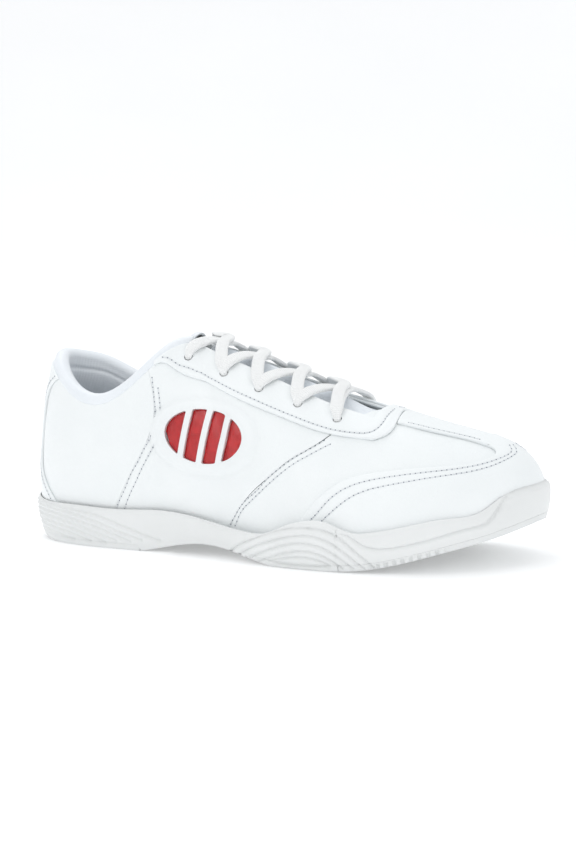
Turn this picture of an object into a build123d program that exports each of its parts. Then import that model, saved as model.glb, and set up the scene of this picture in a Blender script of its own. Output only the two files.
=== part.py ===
from build123d import *
import os
from math import comb
import numpy as np

# Low-top cheer shoe, right foot, about EU 38. Millimetres.
# +X to the toe, +Y to the inner (medial) side, +Z up, ground at Z = 0,
# origin under the middle of the whole shoe's box.
#
# The upper is one smooth skin, addressed by (k, v). k runs round the foot: 0 at the heel,
# 12 at the toe along the outer side, back to 24 along the inner side. v runs from 0 at the
# bottom edge to 1 at the top line or the ridge over the instep. Every panel of the upper is
# a patch of that skin between two depths, so neighbours share their seams exactly.

# ---------------------------------------------------------------- driving dimensions
ORIGIN_SHIFT = (2.76, 0.77, 0.0)   # moves the drafting origin to the middle of the shoe's box

LEATHER = 1.3          # panels of the upper
OVERLAY = 1.2          # panels stitched on top of them
STIFFENER = 0.9        # heel counter and toe puff
COUNTER_END = 2.9      # k where the heel counter ends on each side
COUNTER_TOP = 0.6      # v at the counter's upper edge
PUFF_START = 10.2      # k where the toe puff starts
LINING = 0.95
FIT = 0.10             # play between two layers
SEAM = 0.03            # half the play between two panels edge to edge, in k
TOP_TRIM = 0.985       # leather ends here, under the rolled collar
COLLAR_FOAM = 4.2
COLLAR_ROLL = 3.2      # height of the roll over the top edge

LINING_OUT = -(LEATHER + STIFFENER + 3 * FIT)
LINING_IN = LINING_OUT - LINING

OUTSOLE = 3.0          # rubber under the foam
OUTSOLE_WALL = 1.2     # rubber wrapped up the side at the toe
DRAFT = 2.6            # how far the sole's bottom edge lies inside its widest line
BOARD = 1.2            # strobel board under the foot
SOCKLINER = 4.0
SHANK = 1.1

LACE_WIDTH = 6.5
LACE_THICK = 1.3
LACE_START = 3.9       # laces leave the eyelets this far outside the skin
LACE_HUMP = 5.4        # height of the lower laces over the ridge
LACE_CLEAR = 1.3       # room between crossing laces
EYELET_RADIUS = 2.1
EYELETS = [(5.57, 0.84), (6.31, 0.73), (6.87, 0.71), (7.54, 0.71), (8.25, 0.70)]

WINDOW_CENTRE = (5.50, 0.455)   # oval colour window in the outer quarter
WINDOW_LENGTH = 42.0
WINDOW_HEIGHT = 25.0
WINDOW_BARS = 3
WINDOW_BAR_WIDTH = 3.0
CARD_MARGIN = 4.0
SLANT_ROOM = 4.0       # more at the ends, where the patch leans and the oval doesn't
MM_PER_K = 31.0        # size of the skin's k and v at the window
MM_PER_V = 76.0
CARD_SLANT = 0.06      # in k, from the card's lower edge to its upper edge
WINDOW_SLOPE = -0.12   # the oval's long axis drops this much per mm towards the toe
FILM = 0.2
CARD = 0.35

# Stations from heel to toe. Each row: bottom edge outer side (x, y), bottom edge inner side,
# top edge outer side (x, y, z), top edge inner side, then how the wall bulges: outward and
# upward reach of the lower handle, outward and downward reach of the upper handle.
STATIONS = [
    ((-128.5, 0), (-128.5, 0), (-121.5, 0, 86.5), (-121.5, 0, 86.5), (2.5, 20, 6.5, 22)),
    ((-120, -18.5), (-120, 18), (-116, -12.5, 82.5), (-116, 12.5, 84.5), (2.5, 19, 5, 20)),
    ((-100, -28), (-100, 26.5), (-102, -21.5, 72), (-103, 21, 80), (2.5, 17, 3.5, 17)),
    ((-76, -31), (-77, 28), (-84, -25, 68.5), (-84, 24.5, 72), (2.5, 17, 2.5, 16)),
    ((-50, -31.5), (-52, 26), (-67, -22, 79), (-66, 23, 79.5), (2, 20, 4, 20)),
    ((-24, -33), (-26, 26.5), (-52, -14.5, 93), (-52, 15.5, 94), (2, 24, 9, 20)),
    ((0, -37.5), (0, 30.5), (-36, 0, 95.5), (-36, 0, 95.5), (1, 28, 17, 6)),
    ((24, -42), (25, 36.5), (-5, 1, 85.5), (-5, 1, 85.5), (0.5, 26, 18, 3)),
    ((48, -43.5), (49, 41.5), (24, 2, 75.5), (24, 2, 75.5), (1.5, 22, 21, 1.5)),
    ((72, -41.5), (72, 42.5), (52, 3, 67), (52, 3, 67), (3, 19, 24, 0)),
    ((94, -34), (94, 38), (76, 4, 60.5), (76, 4, 60.5), (3.5, 18, 24, 0)),
    ((113, -17.5), (113, 28.5), (94, 5, 57), (94, 5, 57), (3.5, 17, 20, 0)),
    ((122.5, 7), (122.5, 7), (103, 6, 55.5), (103, 6, 55.5), (3, 17, 15, 0)),
]
TOE = len(STATIONS) - 1
ROUND = 2 * TOE
RIDGE_FALL = -0.3      # cross slope of the instep at the ridge


# ---------------------------------------------------------------- smooth curves
def cubic(xs, ys, closed=False):
    """Smooth cubic through the points ys at xs, which repeats where it is closed."""
    xs = np.asarray(xs, float)
    ys = np.asarray(ys, float)
    flat = ys.ndim == 1
    if flat:
        ys = ys[:, None]
    n = len(xs)
    h = np.diff(xs)
    slope = np.diff(ys, axis=0) / h[:, None]
    a = np.zeros((n, n))
    b = np.zeros_like(ys)
    for i in range(1, n - 1):
        a[i, i - 1:i + 2] = h[i], 2 * (h[i] + h[i - 1]), h[i - 1]
        b[i] = 3 * (h[i] * slope[i - 1] + h[i - 1] * slope[i])
    if closed:
        a[0, [0, 1, n - 2]] = 2 * (h[0] + h[-1]), h[-1], h[0]
        b[0] = 3 * (h[-1] * slope[0] + h[0] * slope[-1])
        a[-1, [0, -1]] = 1, -1
    else:
        a[0, :2] = 2, 1
        a[-1, -2:] = 1, 2
        b[0] = 3 * slope[0]
        b[-1] = 3 * slope[-1]
    m = np.linalg.solve(a, b)

    def value(x):
        x = np.asarray(x, float)
        if closed:
            x = xs[0] + np.mod(x - xs[0], xs[-1] - xs[0])
        i = np.clip(np.searchsorted(xs, x, side="right") - 1, 0, n - 2)
        t = ((x - xs[i]) / h[i])[..., None]
        step = h[i][..., None]
        from_left = (1 + 2 * t) * (1 - t) ** 2 * ys[i] + t * (1 - t) ** 2 * step * m[i]
        from_right = t * t * (3 - 2 * t) * ys[i + 1] + t * t * (t - 1) * step * m[i + 1]
        out = from_left + from_right
        return out[..., 0] if flat else out

    return value


def around(outer, inner):
    """A closed curve in k, from what a station says on its outer and on its inner side."""
    rows = [outer(s) for s in STATIONS] + [inner(s) for s in STATIONS[-2::-1]]
    return cubic(np.arange(ROUND + 1), np.array(rows, float), closed=True)


def smoothstep(x):
    x = np.clip(x, 0, 1)
    return x * x * (3 - 2 * x)


bottom_edge = around(lambda s: s[0], lambda s: s[1])
top_edge = around(lambda s: s[2], lambda s: s[3])
handles = around(lambda s: s[4], lambda s: s[4])
# height of the upper's bottom edge along the shoe: heel seat, arch, ball, toe spring
foot_height = cubic([-132, -60, -20, 20, 60, 90, 110, 125], [13, 12, 12, 10, 10.5, 14, 18.5, 23.5])


def outward(k):
    """Plan direction away from the foot."""
    step = bottom_edge(k + 1e-3) - bottom_edge(k - 1e-3)
    step = step / np.linalg.norm(step, axis=-1, keepdims=True)
    return np.stack([step[..., 1], -step[..., 0]], -1)


def from_heel(k):
    """k measured the short way round from the heel, 0 to 12."""
    k = np.mod(k, ROUND)
    return np.minimum(k, ROUND - k)


def skin(k, v):
    """Point on the upper's outer face."""
    k, v = np.broadcast_arrays(np.asarray(k, float), np.asarray(v, float))
    foot = bottom_edge(k)
    foot = np.concatenate([foot, foot_height(foot[..., 0])[..., None]], -1)
    joined = 0.5 * smoothstep((from_heel(k) - 5.75) / 0.25)[..., None]
    top = top_edge(k) * (1 - joined) + top_edge(ROUND - k) * joined
    out = outward(k)
    low_out, low_up, high_out, high_down = np.moveaxis(handles(k), -1, 0)
    fall = smoothstep((from_heel(k) - 5) / 1.5) * RIDGE_FALL * out[..., 0] * high_out
    low = foot + np.stack([out[..., 0] * low_out, out[..., 1] * low_out, low_up], -1)
    high = top + np.stack([out[..., 0] * high_out, out[..., 1] * high_out, fall - high_down], -1)
    v = v[..., None]
    w = 1 - v
    return w ** 3 * foot + 3 * w * w * v * low + 3 * w * v * v * high + v ** 3 * top


def one_side_normal(k, v, e=2e-3):
    v = np.minimum(v, 0.99)
    along = skin(k + e, v) - skin(k - e, v)
    up = skin(k, v + e) - skin(k, v - e)
    n = np.cross(along, up)
    return n / np.linalg.norm(n, axis=-1, keepdims=True)


def normal(k, v):
    """Outward normal. Over the instep the two sides share one normal at the ridge."""
    k, v = np.broadcast_arrays(np.asarray(k, float), np.asarray(v, float))
    n = one_side_normal(k, v)
    other = one_side_normal(ROUND - k, v)
    share = 0.5 * smoothstep((v - 0.8) / 0.2) * smoothstep((from_heel(k) - 5.2) / 0.8)
    n = n * (1 - share[..., None]) + other * share[..., None]
    return n / np.linalg.norm(n, axis=-1, keepdims=True)


def at_depth(k, v, d):
    """Point d outside the skin, or inside it where d is negative."""
    k, v, d = np.broadcast_arrays(np.asarray(k, float), np.asarray(v, float), d)
    return skin(k, v) + normal(k, v) * d[..., None]


# ---------------------------------------------------------------- patches to solids
def bernstein(n, t):
    return np.array([comb(n, i) * t ** i * (1 - t) ** (n - i) for i in range(n + 1)]).T


def control_net(place, n, m):
    """Control points of the Bezier face through place(s, t), s and t from 0 to 1."""
    s = (1 - np.cos(np.pi * np.arange(n + 1) / n)) / 2
    t = (1 - np.cos(np.pi * np.arange(m + 1) / m)) / 2
    grid = place(*np.meshgrid(s, t, indexing="ij"))
    from_s = np.linalg.inv(bernstein(n, s))
    from_t = np.linalg.inv(bernstein(m, t))
    return np.einsum("ia,abc,jb->ijc", from_s, grid, from_t)


def bezier_face(net):
    return Face.make_bezier_surface([[Vector(*map(float, p)) for p in row] for row in net])


def net_edges(net):
    return [net[0], net[-1], net[:, 0], net[:, -1]]


def layer(patches, outer, inner, cuts=3, rows=1, n=6, m=6):
    """One solid between two depths over one or more (k, v) patches that share edges.

    A patch is a function of (s, t) that gives (k, v). outer and inner are depths, or
    functions of (k, v) that give depths. Each patch becomes several faces along s and t.
    """
    def depth(d):
        return d if callable(d) else (lambda k, v: np.full(np.shape(k), float(d)))

    def place(patch, d, i, j):
        def at(s, t):
            k, v = patch((i + s) / cuts, (j + t) / rows)
            return at_depth(k, v, depth(d)(k, v))
        return at

    cells = [(p, i, j) for p in patches for i in range(cuts) for j in range(rows)]
    pairs = [(place(p, outer, i, j), place(p, inner, i, j)) for p, i, j in cells]
    return shell_of(pairs, n, m)


def shell_of(pairs, n, m):
    """A closed solid from pairs of outer and inner surfaces, walled along open edges."""
    nets = [(control_net(o, n, m), control_net(i, n, m)) for o, i in pairs]
    faces = [bezier_face(net) for pair in nets for net in pair]
    rims = [rim for o, i in nets for rim in zip(net_edges(o), net_edges(i))]
    for a, (rim, under) in enumerate(rims):
        shared = any(
            len(other) == len(rim) and (np.allclose(other, rim, atol=1e-5)
                                        or np.allclose(other[::-1], rim, atol=1e-5))
            for b, (other, _) in enumerate(rims) if b != a
        )
        if not shared:
            faces.append(bezier_face(np.stack([rim, under], 1)))
    return Solid(Shell(faces))


def between(left, right, low, high):
    """Patch with k from left(t) to right(t) and v from low(s) to high(s)."""
    def patch(s, t):
        k = left(t) * (1 - s) + right(t) * s
        v = low(s) * (1 - t) + high(s) * t
        return k, v
    return patch


def flat(value):
    return lambda x: np.full(np.shape(x), float(value))


def mirrored(patch):
    """The same patch on the inner side."""
    def other(s, t):
        k, v = patch(s, t)
        return ROUND - k, v
    return other


# ---------------------------------------------------------------- seam lines of the upper
# quarter front seam, from the sole up to the base of the throat: k at v
quarter_front = cubic([0, .16, .29, .41, .51, .66, .8, 1], [5.4, 5.98, 6.68, 7.26, 7.77, 8.3, 8.65, 9.05])
# heel quarter seam, an S from the sole up to the collar: k at v
heel_seam = cubic([0, .15, .33, .52, .64, .79, 1], [2.95, 3.13, 3.44, 3.97, 4.36, 4.52, 4.40])
# half width of the backstay round the heel: k at v
backstay_half = cubic([0, .14, .35, .55, .78, .97], [1.75, 1.5, .7, .5, .8, 1.4])
# edge of the throat: v at k
throat_edge = cubic([4.3, 4.7, 5.1, 5.5, 5.9, 6.2, 6.6, 7.2, 8, 8.9],
                    [.985, .985, .98, .955, .895, .855, .835, .825, .80, .80])
# lower edge of the eyestay: v at k
eyestay_low = cubic([4.6, 4.85, 5.3, 5.85, 6.4, 7.2, 8.0, 8.8], [.955, .925, .79, .68, .62, .605, .60, .635])
# upper edge of the toe overlay's wings: v at k
wing_top = cubic([7.1, 7.5, 7.9, 8.35, 9.2, 10.0, 10.6, 11], [.08, .20, .30, .385, .475, .54, .585, .65])
# lower edge of the overlay's middle strip: v at k
strip_low = cubic([9.3, 9.8, 10.3, 10.7, 11], [.82, .835, .84, .82, .78])
# top of the quarter lining, which passes under the collar lining and the tongue: v at k
lining_top = cubic([0, 3, 4.4, 5.2, 5.7, 6.1, 6.5, 7.2, 8.9], [.60, .60, .64, .76, .86, .84, .81, .80, .78])
# where the front lining meets the quarter linings, over the flex line: k at v
lining_joint = cubic([0, .3, .6, 1], [8.08, 8.22, 8.50, 8.92])


# ---------------------------------------------------------------- leather panels
def heel_quarter():
    left = lambda t: flat(SEAM * 0.5)(t)
    right = lambda t: heel_seam(t * TOP_TRIM) - SEAM
    return between(left, right, flat(0), flat(TOP_TRIM))


def quarter():
    top_right = 0.79
    corner = quarter_front(top_right) - SEAM

    def patch(s, t):
        left = heel_seam(t * TOP_TRIM) + SEAM
        right = quarter_front(t * top_right) - SEAM
        k = left * (1 - s) + right * s
        k_top = (heel_seam(TOP_TRIM) + SEAM) * (1 - s) + corner * s
        return k, t * throat_edge(k_top)

    return patch


def vamp():
    right = flat(TOE - SEAM * 0.5)
    return between(lambda t: quarter_front(t * 0.995) + SEAM, right, flat(0), flat(0.995))


def window_frame():
    """Plane tangent to the outer quarter at the middle of the colour window."""
    origin = at_depth(*WINDOW_CENTRE, np.array(0.0))
    z_dir = normal(*WINDOW_CENTRE)
    x_dir = np.array([1.0, 0.0, WINDOW_SLOPE])
    return Plane(origin=tuple(origin), x_dir=tuple(x_dir), z_dir=tuple(z_dir))


def window_cutters():
    """The oval window without its upright bars, as one solid for each opening."""
    plane = window_frame()
    oval = extrude(plane * Ellipse(WINDOW_LENGTH / 2, WINDOW_HEIGHT / 2), amount=8, both=True)
    pitch = WINDOW_LENGTH / (WINDOW_BARS + 1)
    for i in range(WINDOW_BARS):
        x = pitch * (i + 1) - WINDOW_LENGTH / 2
        bar = Pos(x, 0) * Rectangle(WINDOW_BAR_WIDTH, WINDOW_HEIGHT + 2)
        oval = oval - extrude(plane * bar, amount=9, both=True)
    return oval


def window_patch(grow):
    """The (k, v) patch behind the window, with a margin round it."""
    half_k = (WINDOW_LENGTH / 2 + grow + SLANT_ROOM) / MM_PER_K
    half_v = (WINDOW_HEIGHT / 2 + grow) / MM_PER_V
    k, v = WINDOW_CENTRE
    return between(lambda t: k - half_k + CARD_SLANT * t, lambda t: k + half_k + CARD_SLANT * t,
                   flat(v - half_v), flat(v + half_v))


# ---------------------------------------------------------------- overlays
OVERLAY_LOW = 0.03     # overlays start a little above the upper's bottom edge
EYESTAY_FRONT = 8.85
THROAT_BASE = 9.0
EYESTAY_NOSE = 9.27


def eyestay_arm():
    back = 4.6

    def patch(s, t):
        k = back + (EYESTAY_FRONT - back) * s
        return k, eyestay_low(k) * (1 - t) + throat_edge(k) * t

    return patch


def eyestay_bridge():
    """Joins the arm to its twin across the ridge, in front of the throat."""
    nose = cubic([0, 0.45, 1], [EYESTAY_FRONT, 9.16, EYESTAY_NOSE])
    low = cubic([0, 0.45, 1], [float(eyestay_low(EYESTAY_FRONT)), 0.74, 1.0])
    high = float(throat_edge(EYESTAY_FRONT))

    def patch(s, t):
        k_low = nose(s)
        v_low = low(s)
        k_high = EYESTAY_FRONT + (THROAT_BASE - EYESTAY_FRONT) * s
        v_high = high + (1 - high) * s
        return k_low * (1 - t) + k_high * t, v_low * (1 - t) + v_high * t

    return patch


def toe_overlay_patches():
    nose = 11.0
    low_v = float(wing_top(nose))
    high_v = float(strip_low(nose))
    wing_back = 7.1
    strip_back = 9.36

    def wing(s, t):
        k = wing_back + (nose - wing_back) * s
        return k, OVERLAY_LOW * (1 - t) + t * wing_top(k)

    def strip(s, t):
        k = strip_back + (nose - strip_back) * s
        low = strip_low(k)
        return k, low * (1 - t) + t

    def nose_low(s, t):
        return nose + (TOE - nose) * s, OVERLAY_LOW * (1 - t) + low_v * t

    def nose_middle(s, t):
        bow = 0.12 * 4 * t * (1 - t)
        return nose + bow + (TOE - nose - bow) * s, low_v * (1 - t) + high_v * t

    def nose_top(s, t):
        return nose + (TOE - nose) * s, high_v * (1 - t) + t

    return [wing, strip, nose_low, nose_middle, nose_top]


def backstay():
    def patch(s, t):
        v = OVERLAY_LOW * (1 - t) + 0.97 * t
        return backstay_half(v) * (2 * s - 1), v
    return patch


# ---------------------------------------------------------------- linings and collar
COLLAR_FRONT = 5.55
COLLAR_CUTS = 6
COLLAR_LOW_PLAY = 0.012


def collar_depth(v):
    """How deep the collar foam reaches in, from its thin lower edge to the top line."""
    return COLLAR_FOAM * (0.12 + 0.88 * smoothstep((v - 0.62) / 0.3))


FOAM_OUT = -(LEATHER + FIT)


def foam_inner(k, v):
    return FOAM_OUT - collar_depth(v)


def collar_foam():
    front = COLLAR_FRONT - 0.06

    def patch(s, t):
        k = front * s
        low = 0.66 + 0.22 * smoothstep((k - 4.2) / 1.3)
        return k, low * (1 - t) + 0.975 * t

    return layer([patch, mirrored(patch)], FOAM_OUT, foam_inner, cuts=COLLAR_CUTS)


def collar_roll(k, turn, d_out, height):
    """Point on the roll over the top edge; turn 0 is inside the shoe and 1 is outside."""
    edge = at_depth(k, 1.0, np.zeros(np.shape(k)))
    n = normal(k, np.ones(np.shape(k)))
    rise = skin(k, 1.0) - skin(k, 0.98)
    rise = rise / np.linalg.norm(rise, axis=-1, keepdims=True)
    inside, outside = d_out
    middle = (inside + outside) / 2
    half = (outside - inside) / 2
    across = middle - half * np.cos(np.pi * turn)
    up = height * np.sin(np.pi * turn)
    return edge + n * across[..., None] + rise * up[..., None]


def part_of(place, i):
    """One of the equal stretches of a surface along s."""
    return lambda s, t: place((i + s) / COLLAR_CUTS, t)


def collar_lining():
    """Soft lining from below the ankle padding, up and over the top edge."""
    wall_out = lambda k, v: foam_inner(k, v) - FIT
    wall_in = lambda k, v: foam_inner(k, v) - FIT - LINING
    one = np.array(1.0)
    roll_in = (float(foam_inner(0, one)) - FIT - LINING, 0.0)
    roll_under = (float(foam_inner(0, one)) - FIT, -LINING)

    def where(s, t, side):
        k = COLLAR_FRONT * s
        low = lining_top(k) + COLLAR_LOW_PLAY
        return side(k), low * (1 - t) + t

    def wall_face(depth, side):
        def at(s, t):
            k, v = where(s, t, side)
            return at_depth(k, v, depth(k, v))
        return at

    def roll_face(span, height, side):
        return lambda s, t: collar_roll(side(COLLAR_FRONT * s), t, span, height)

    pairs = []
    for side in (lambda k: k, lambda k: ROUND - k):
        for i in range(COLLAR_CUTS):
            pairs.append((part_of(wall_face(wall_in, side), i), part_of(wall_face(wall_out, side), i)))
            pairs.append((part_of(roll_face(roll_in, COLLAR_ROLL, side), i),
                          part_of(roll_face(roll_under, COLLAR_ROLL - LINING, side), i)))
    return shell_of(pairs, n=6, m=6)


def quarter_lining():
    def patch(s, t):
        top_k = float(lining_joint(0.78)) * s
        v = t * lining_top(top_k)
        right = lining_joint(v) - SEAM
        return SEAM * 0.5 * (1 - s) + right * s, v
    return patch


def front_lining():
    return between(lambda t: lining_joint(t) + SEAM, flat(TOE), flat(0), flat(1))


# ---------------------------------------------------------------- tongue
TONGUE_TOP = 6.02
TONGUE_WING = 5.3
TONGUE_BASE = 9.2
TONGUE_EDGE = 0.60
TONGUE_SWELL = 2.6
TONGUE_THICK = 5.2
TONGUE_EDGE_THICK = 2.6


def tongue_patch():
    """Outer half of the tongue, from its edge under the eyestay up to the ridge."""
    def patch(s, t):
        top = TONGUE_WING + (TONGUE_TOP - TONGUE_WING) * smoothstep(t)
        return top + (TONGUE_BASE - top) * s, TONGUE_EDGE * (1 - t) + t
    return patch


def tongue_surface(k, v):
    """The tongue dives under the eyestays and swells up in the throat between them."""
    under = LINING_IN - 0.9
    in_throat = smoothstep((v - 0.84) / 0.16) * smoothstep((8.9 - from_heel(k)) / 0.8)
    return under + TONGUE_SWELL * in_throat


def tongue_layer(start, end):
    """A ply of the tongue; start and end are how far its faces lie through the whole, 0 to 1."""
    def face(share):
        def depth(k, v):
            thick = TONGUE_EDGE_THICK + (TONGUE_THICK - TONGUE_EDGE_THICK) * smoothstep((v - 0.66) / 0.3)
            return tongue_surface(k, v) - share * thick
        return depth

    patch = tongue_patch()
    return layer([patch, mirrored(patch)], face(start), face(end), cuts=4)


# ---------------------------------------------------------------- laces
def ribbon(places, lifts, width=LACE_WIDTH, thick=LACE_THICK):
    """Flat lace along the Bezier curve of four places, with the direction it faces at each."""
    tangent = np.gradient(places, axis=0)
    across = np.cross(lifts, tangent)
    across /= np.linalg.norm(across, axis=1, keepdims=True)
    half = across * width / 2
    low = np.stack([places - half, places + half], 1)
    high = low + lifts[:, None, :] * thick
    faces = [bezier_face(low), bezier_face(high)]
    faces += [bezier_face(np.stack([low[:, i], high[:, i]], 1)) for i in (0, 1)]
    faces += [bezier_face(np.stack([low[i], high[i]], 0)) for i in (0, -1)]
    return Solid(Shell(faces))


def lace_span(start, end, hump):
    """From an eyelet on the outer side to one on the inner side, over the tongue."""
    rise = 0.93
    k_start, v_start = start
    k_end, v_end = end
    k_mid = (k_start + k_end) / 2
    ks = np.array([k_start, (k_start + k_mid) / 2, ROUND - (k_end + k_mid) / 2, ROUND - k_end])
    vs = np.array([v_start, rise, rise, v_end])
    depths = np.array([LACE_START, hump, hump, LACE_START])
    return ribbon(at_depth(ks, vs, depths), normal(ks, vs))


def lace_spans():
    front = EYELETS[-1]
    spans = [lace_span(front, front, LACE_HUMP)]
    for rear, fore in zip(EYELETS[:-1], EYELETS[1:]):
        spans.append(lace_span(rear, fore, LACE_HUMP))
        spans.append(lace_span(fore, rear, LACE_HUMP + LACE_THICK + LACE_CLEAR))
    return spans


# ---------------------------------------------------------------- sole
SOLE_MARGIN = [4, 4, 4, 4, 4, 4.5, 6, 6, 5, 4.5, 4.5, 4.5, 4.5]   # outside the upper, by station
CUP_PLAY = [3.1, 3.1, 3.1, 3.1, 3.1, 3.1, 3.1, 2.9, 2.6, 2.4, 2.4, 2.4, 2.4]   # cup's inner wall, likewise
FLOOR_PLAY = 0.12
sole_margin = cubic(np.arange(ROUND + 1), SOLE_MARGIN + SOLE_MARGIN[-2::-1], closed=True)
cup_reach = cubic(np.arange(ROUND + 1), CUP_PLAY + CUP_PLAY[-2::-1], closed=True)
# height of the sole's bottom along the shoe: heel, lifted arch, ball, toe spring
ground_line = cubic([-134, -124, -110, -85, -62, -40, -20, 0, 18, 35, 60, 80, 100, 118, 134],
                    [10, 3.2, 0.3, -0.3, -0.2, 4, 5.5, 3, -0.3, -0.3, 1.3, 5.5, 11, 16.5, 24])
# height of the sole's top line: low at the waist, a crest at the ball, a bumper at the toe
top_line = cubic([-134, -120, -100, -70, -45, -20, 0, 12, 24, 34, 43, 56, 66, 80, 100, 112, 118, 128],
                 [21, 19.5, 19.6, 19.3, 20, 17, 14.6, 15, 19.6, 22.2, 22.4, 18.3, 18.8, 21.5, 25.2,
                  28, 33, 36.5])
# top of the rubber band round the toe: a groove in the side, then the bumper
rand_line = cubic([50, 56, 62, 70, 79, 95, 108, 114, 118, 122, 128],
                  [18, 16.6, 13.2, 11.8, 13, 17.3, 21, 25, 32.8, 35.2, 36.5])


ARCS = [(-1.5, 1.5), (1.5, 10.5), (10.5, 13.5), (13.5, 22.5)]   # heel, outer, toe, inner
HEEL_PAD_END = 3.6     # k on the outer side where the heel's rubber ends
BALL_PAD_START = 6.1
FLEX_K = 8.08          # k on the outer side at the flex line
PAD_GAP_K = 0.04
WELL = 60.0            # cutting bodies run this high


def reach_point(k, reach, z_line):
    """Point beside the upper's bottom edge, at a height that depends on x."""
    plan_point = bottom_edge(k) + outward(k) * np.asarray(reach(k))[..., None]
    return np.concatenate([plan_point, z_line(plan_point[..., 0])[..., None]], -1)


def sheet_over(edges, z_line):
    """Coons patch in plan over four corner-to-corner edges, at the height z_line(x)."""
    low, high, left, right = edges

    def place(s, t):
        s = s[..., None]
        t = t[..., None]
        flat_part = low(s[..., 0]) * (1 - t) + high(s[..., 0]) * t
        side_part = left(t[..., 0]) * (1 - s) + right(t[..., 0]) * s
        ends = (low(0 * s[..., 0]) * (1 - s) + low(0 * s[..., 0] + 1) * s) * (1 - t)
        ends = ends + (high(0 * s[..., 0]) * (1 - s) + high(0 * s[..., 0] + 1) * s) * t
        point = flat_part + side_part - ends
        point[..., 2] = z_line(point[..., 0])
        return point

    return place


def arc_edge(k_start, k_end, reach, z_line):
    return lambda t: reach_point(k_start + (k_end - k_start) * t, reach, z_line)


def straight_edge(start, end, z_line):
    """From one (k, reach) point to another, straight across the shoe."""
    def at(t):
        a = reach_point(np.array(float(start)), *z_line)
        b = reach_point(np.array(float(end)), *z_line)
        return a * (1 - t[..., None]) + b * t[..., None]
    return at


def lid(reach, z_line):
    """The whole outline as one patch."""
    heel, outer, toe, inner = ARCS
    edges = (arc_edge(*outer, reach, z_line), arc_edge(inner[1], inner[0], reach, z_line),
             arc_edge(heel[1], heel[0], reach, z_line), arc_edge(*toe, reach, z_line))
    return sheet_over(edges, z_line)


def wall(arc, reach_low, z_low, reach_high, z_high):
    """Side wall over a stretch of k, from a low line to a high one."""
    start, end = arc

    def place(s, t):
        k = start + (end - start) * s
        low = reach_point(k, reach_low, z_low)
        high = reach_point(k, reach_high, z_high)
        t = t[..., None]
        return low * (1 - t) + high * t

    return place


def tub(reach_low, z_low, reach_high, z_high, n=9):
    """Solid inside the outline, from a low surface to a high one."""
    faces = [bezier_face(control_net(lid(reach_low, z_low), n, n)),
             bezier_face(control_net(lid(reach_high, z_high), n, n))]
    for arc in ARCS:
        faces.append(bezier_face(control_net(wall(arc, reach_low, z_low, reach_high, z_high), n, 1)))
    return Solid(Shell(faces))


def slab(k_start, k_end, reach, z_low, z_high, n=9):
    """D-shaped pad round one end of the shoe, from k_start to k_end."""
    third = (k_end - k_start) / 3
    a, b = k_start + third, k_end - third

    def sheet(z_line):
        edges = (arc_edge(a, k_start, reach, z_line), arc_edge(b, k_end, reach, z_line),
                 arc_edge(a, b, reach, z_line),
                 straight_edge(k_start, k_end, (reach, z_line)))
        return sheet_over(edges, z_line)

    return shell_of([(sheet(z_high), sheet(z_low))], n, n)


def strip_across(k_start, k_end, reach, z_low, z_high, n=7):
    """Pad across the shoe between two stations."""
    def sheet(z_line):
        edges = (arc_edge(k_start, k_end, reach, z_line),
                 arc_edge(ROUND - k_start, ROUND - k_end, reach, z_line),
                 straight_edge(k_start, ROUND - k_start, (reach, z_line)),
                 straight_edge(k_end, ROUND - k_end, (reach, z_line)))
        return sheet_over(edges, z_line)

    return shell_of([(sheet(z_high), sheet(z_low))], n, n)


def rand(inset_out, inset_in, z_low, z_high, k_start, n=9):
    """Band round the toe from k_start on one side to its twin on the other."""
    stops = [k_start, 10.5, 13.5, ROUND - k_start]
    pairs = []
    for arc in zip(stops[:-1], stops[1:]):
        outside = reach_of(inset_out)
        inside = reach_of(inset_in)
        pairs.append((wall(arc, outside, z_low, outside, z_high),
                      wall(arc, inside, z_low, inside, z_high)))
    return shell_of(pairs, n, 1)


def reach_of(inset):
    return lambda k: sole_margin(k) - inset


def raised(line, by):
    return lambda x: line(x) + by


def sole_parts():
    """Rubber under the heel, ball and toe, the toe rand, and the foam cup they are bonded to."""
    out, bottom = reach_of(0), reach_of(DRAFT)
    beyond = reach_of(-3)
    floor = raised(foot_height, -FLOOR_PLAY)
    pad_top = raised(ground_line, OUTSOLE)
    room_top = raised(ground_line, OUTSOLE + FIT)
    below = raised(ground_line, -5)
    whole = tub(bottom, ground_line, out, top_line)
    cup = tub(cup_reach, floor, cup_reach, flat(WELL))
    foam = whole - cup
    heel_end, ball, flex = HEEL_PAD_END, BALL_PAD_START, FLEX_K
    foam = foam - slab(-heel_end - 0.02, heel_end + 0.02, beyond, below, room_top)
    foam = foam - strip_across(ball - 0.02, flex + 0.01, beyond, below, room_top)
    foam = foam - slab(flex + 0.01, ROUND - flex - 0.01, beyond, below, raised(room_top, 0.14))
    rand_room = raised(rand_line, 0.7)
    foam = foam - rand(-3, OUTSOLE_WALL + FIT, ground_line, rand_room, flex + 0.01)
    pocket = Box(SHANK_LENGTH + 1, SHANK_WIDTH + 1, 4, align=(Align.CENTER, Align.CENTER, Align.MIN))
    shank_room = Pos(SHANK_PLACE[0], SHANK_PLACE[1], SHANK_PLACE[2] - SHANK / 2 - FIT) * pocket
    under = Pos(0, 0, -20) * Box(400, 200, 40)
    return {
        "midsole": foam - shank_room - under,
        "outsole_heel": slab(-heel_end, heel_end, bottom, ground_line, pad_top) - under,
        "outsole_ball": strip_across(ball, flex - PAD_GAP_K, bottom, ground_line, pad_top) - under,
        "outsole_toe": slab(flex + PAD_GAP_K, ROUND - flex - PAD_GAP_K, bottom, ground_line, pad_top),
        "toe_rand": rand(0, OUTSOLE_WALL, raised(pad_top, FIT), rand_line, flex + PAD_GAP_K),
    }


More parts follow.
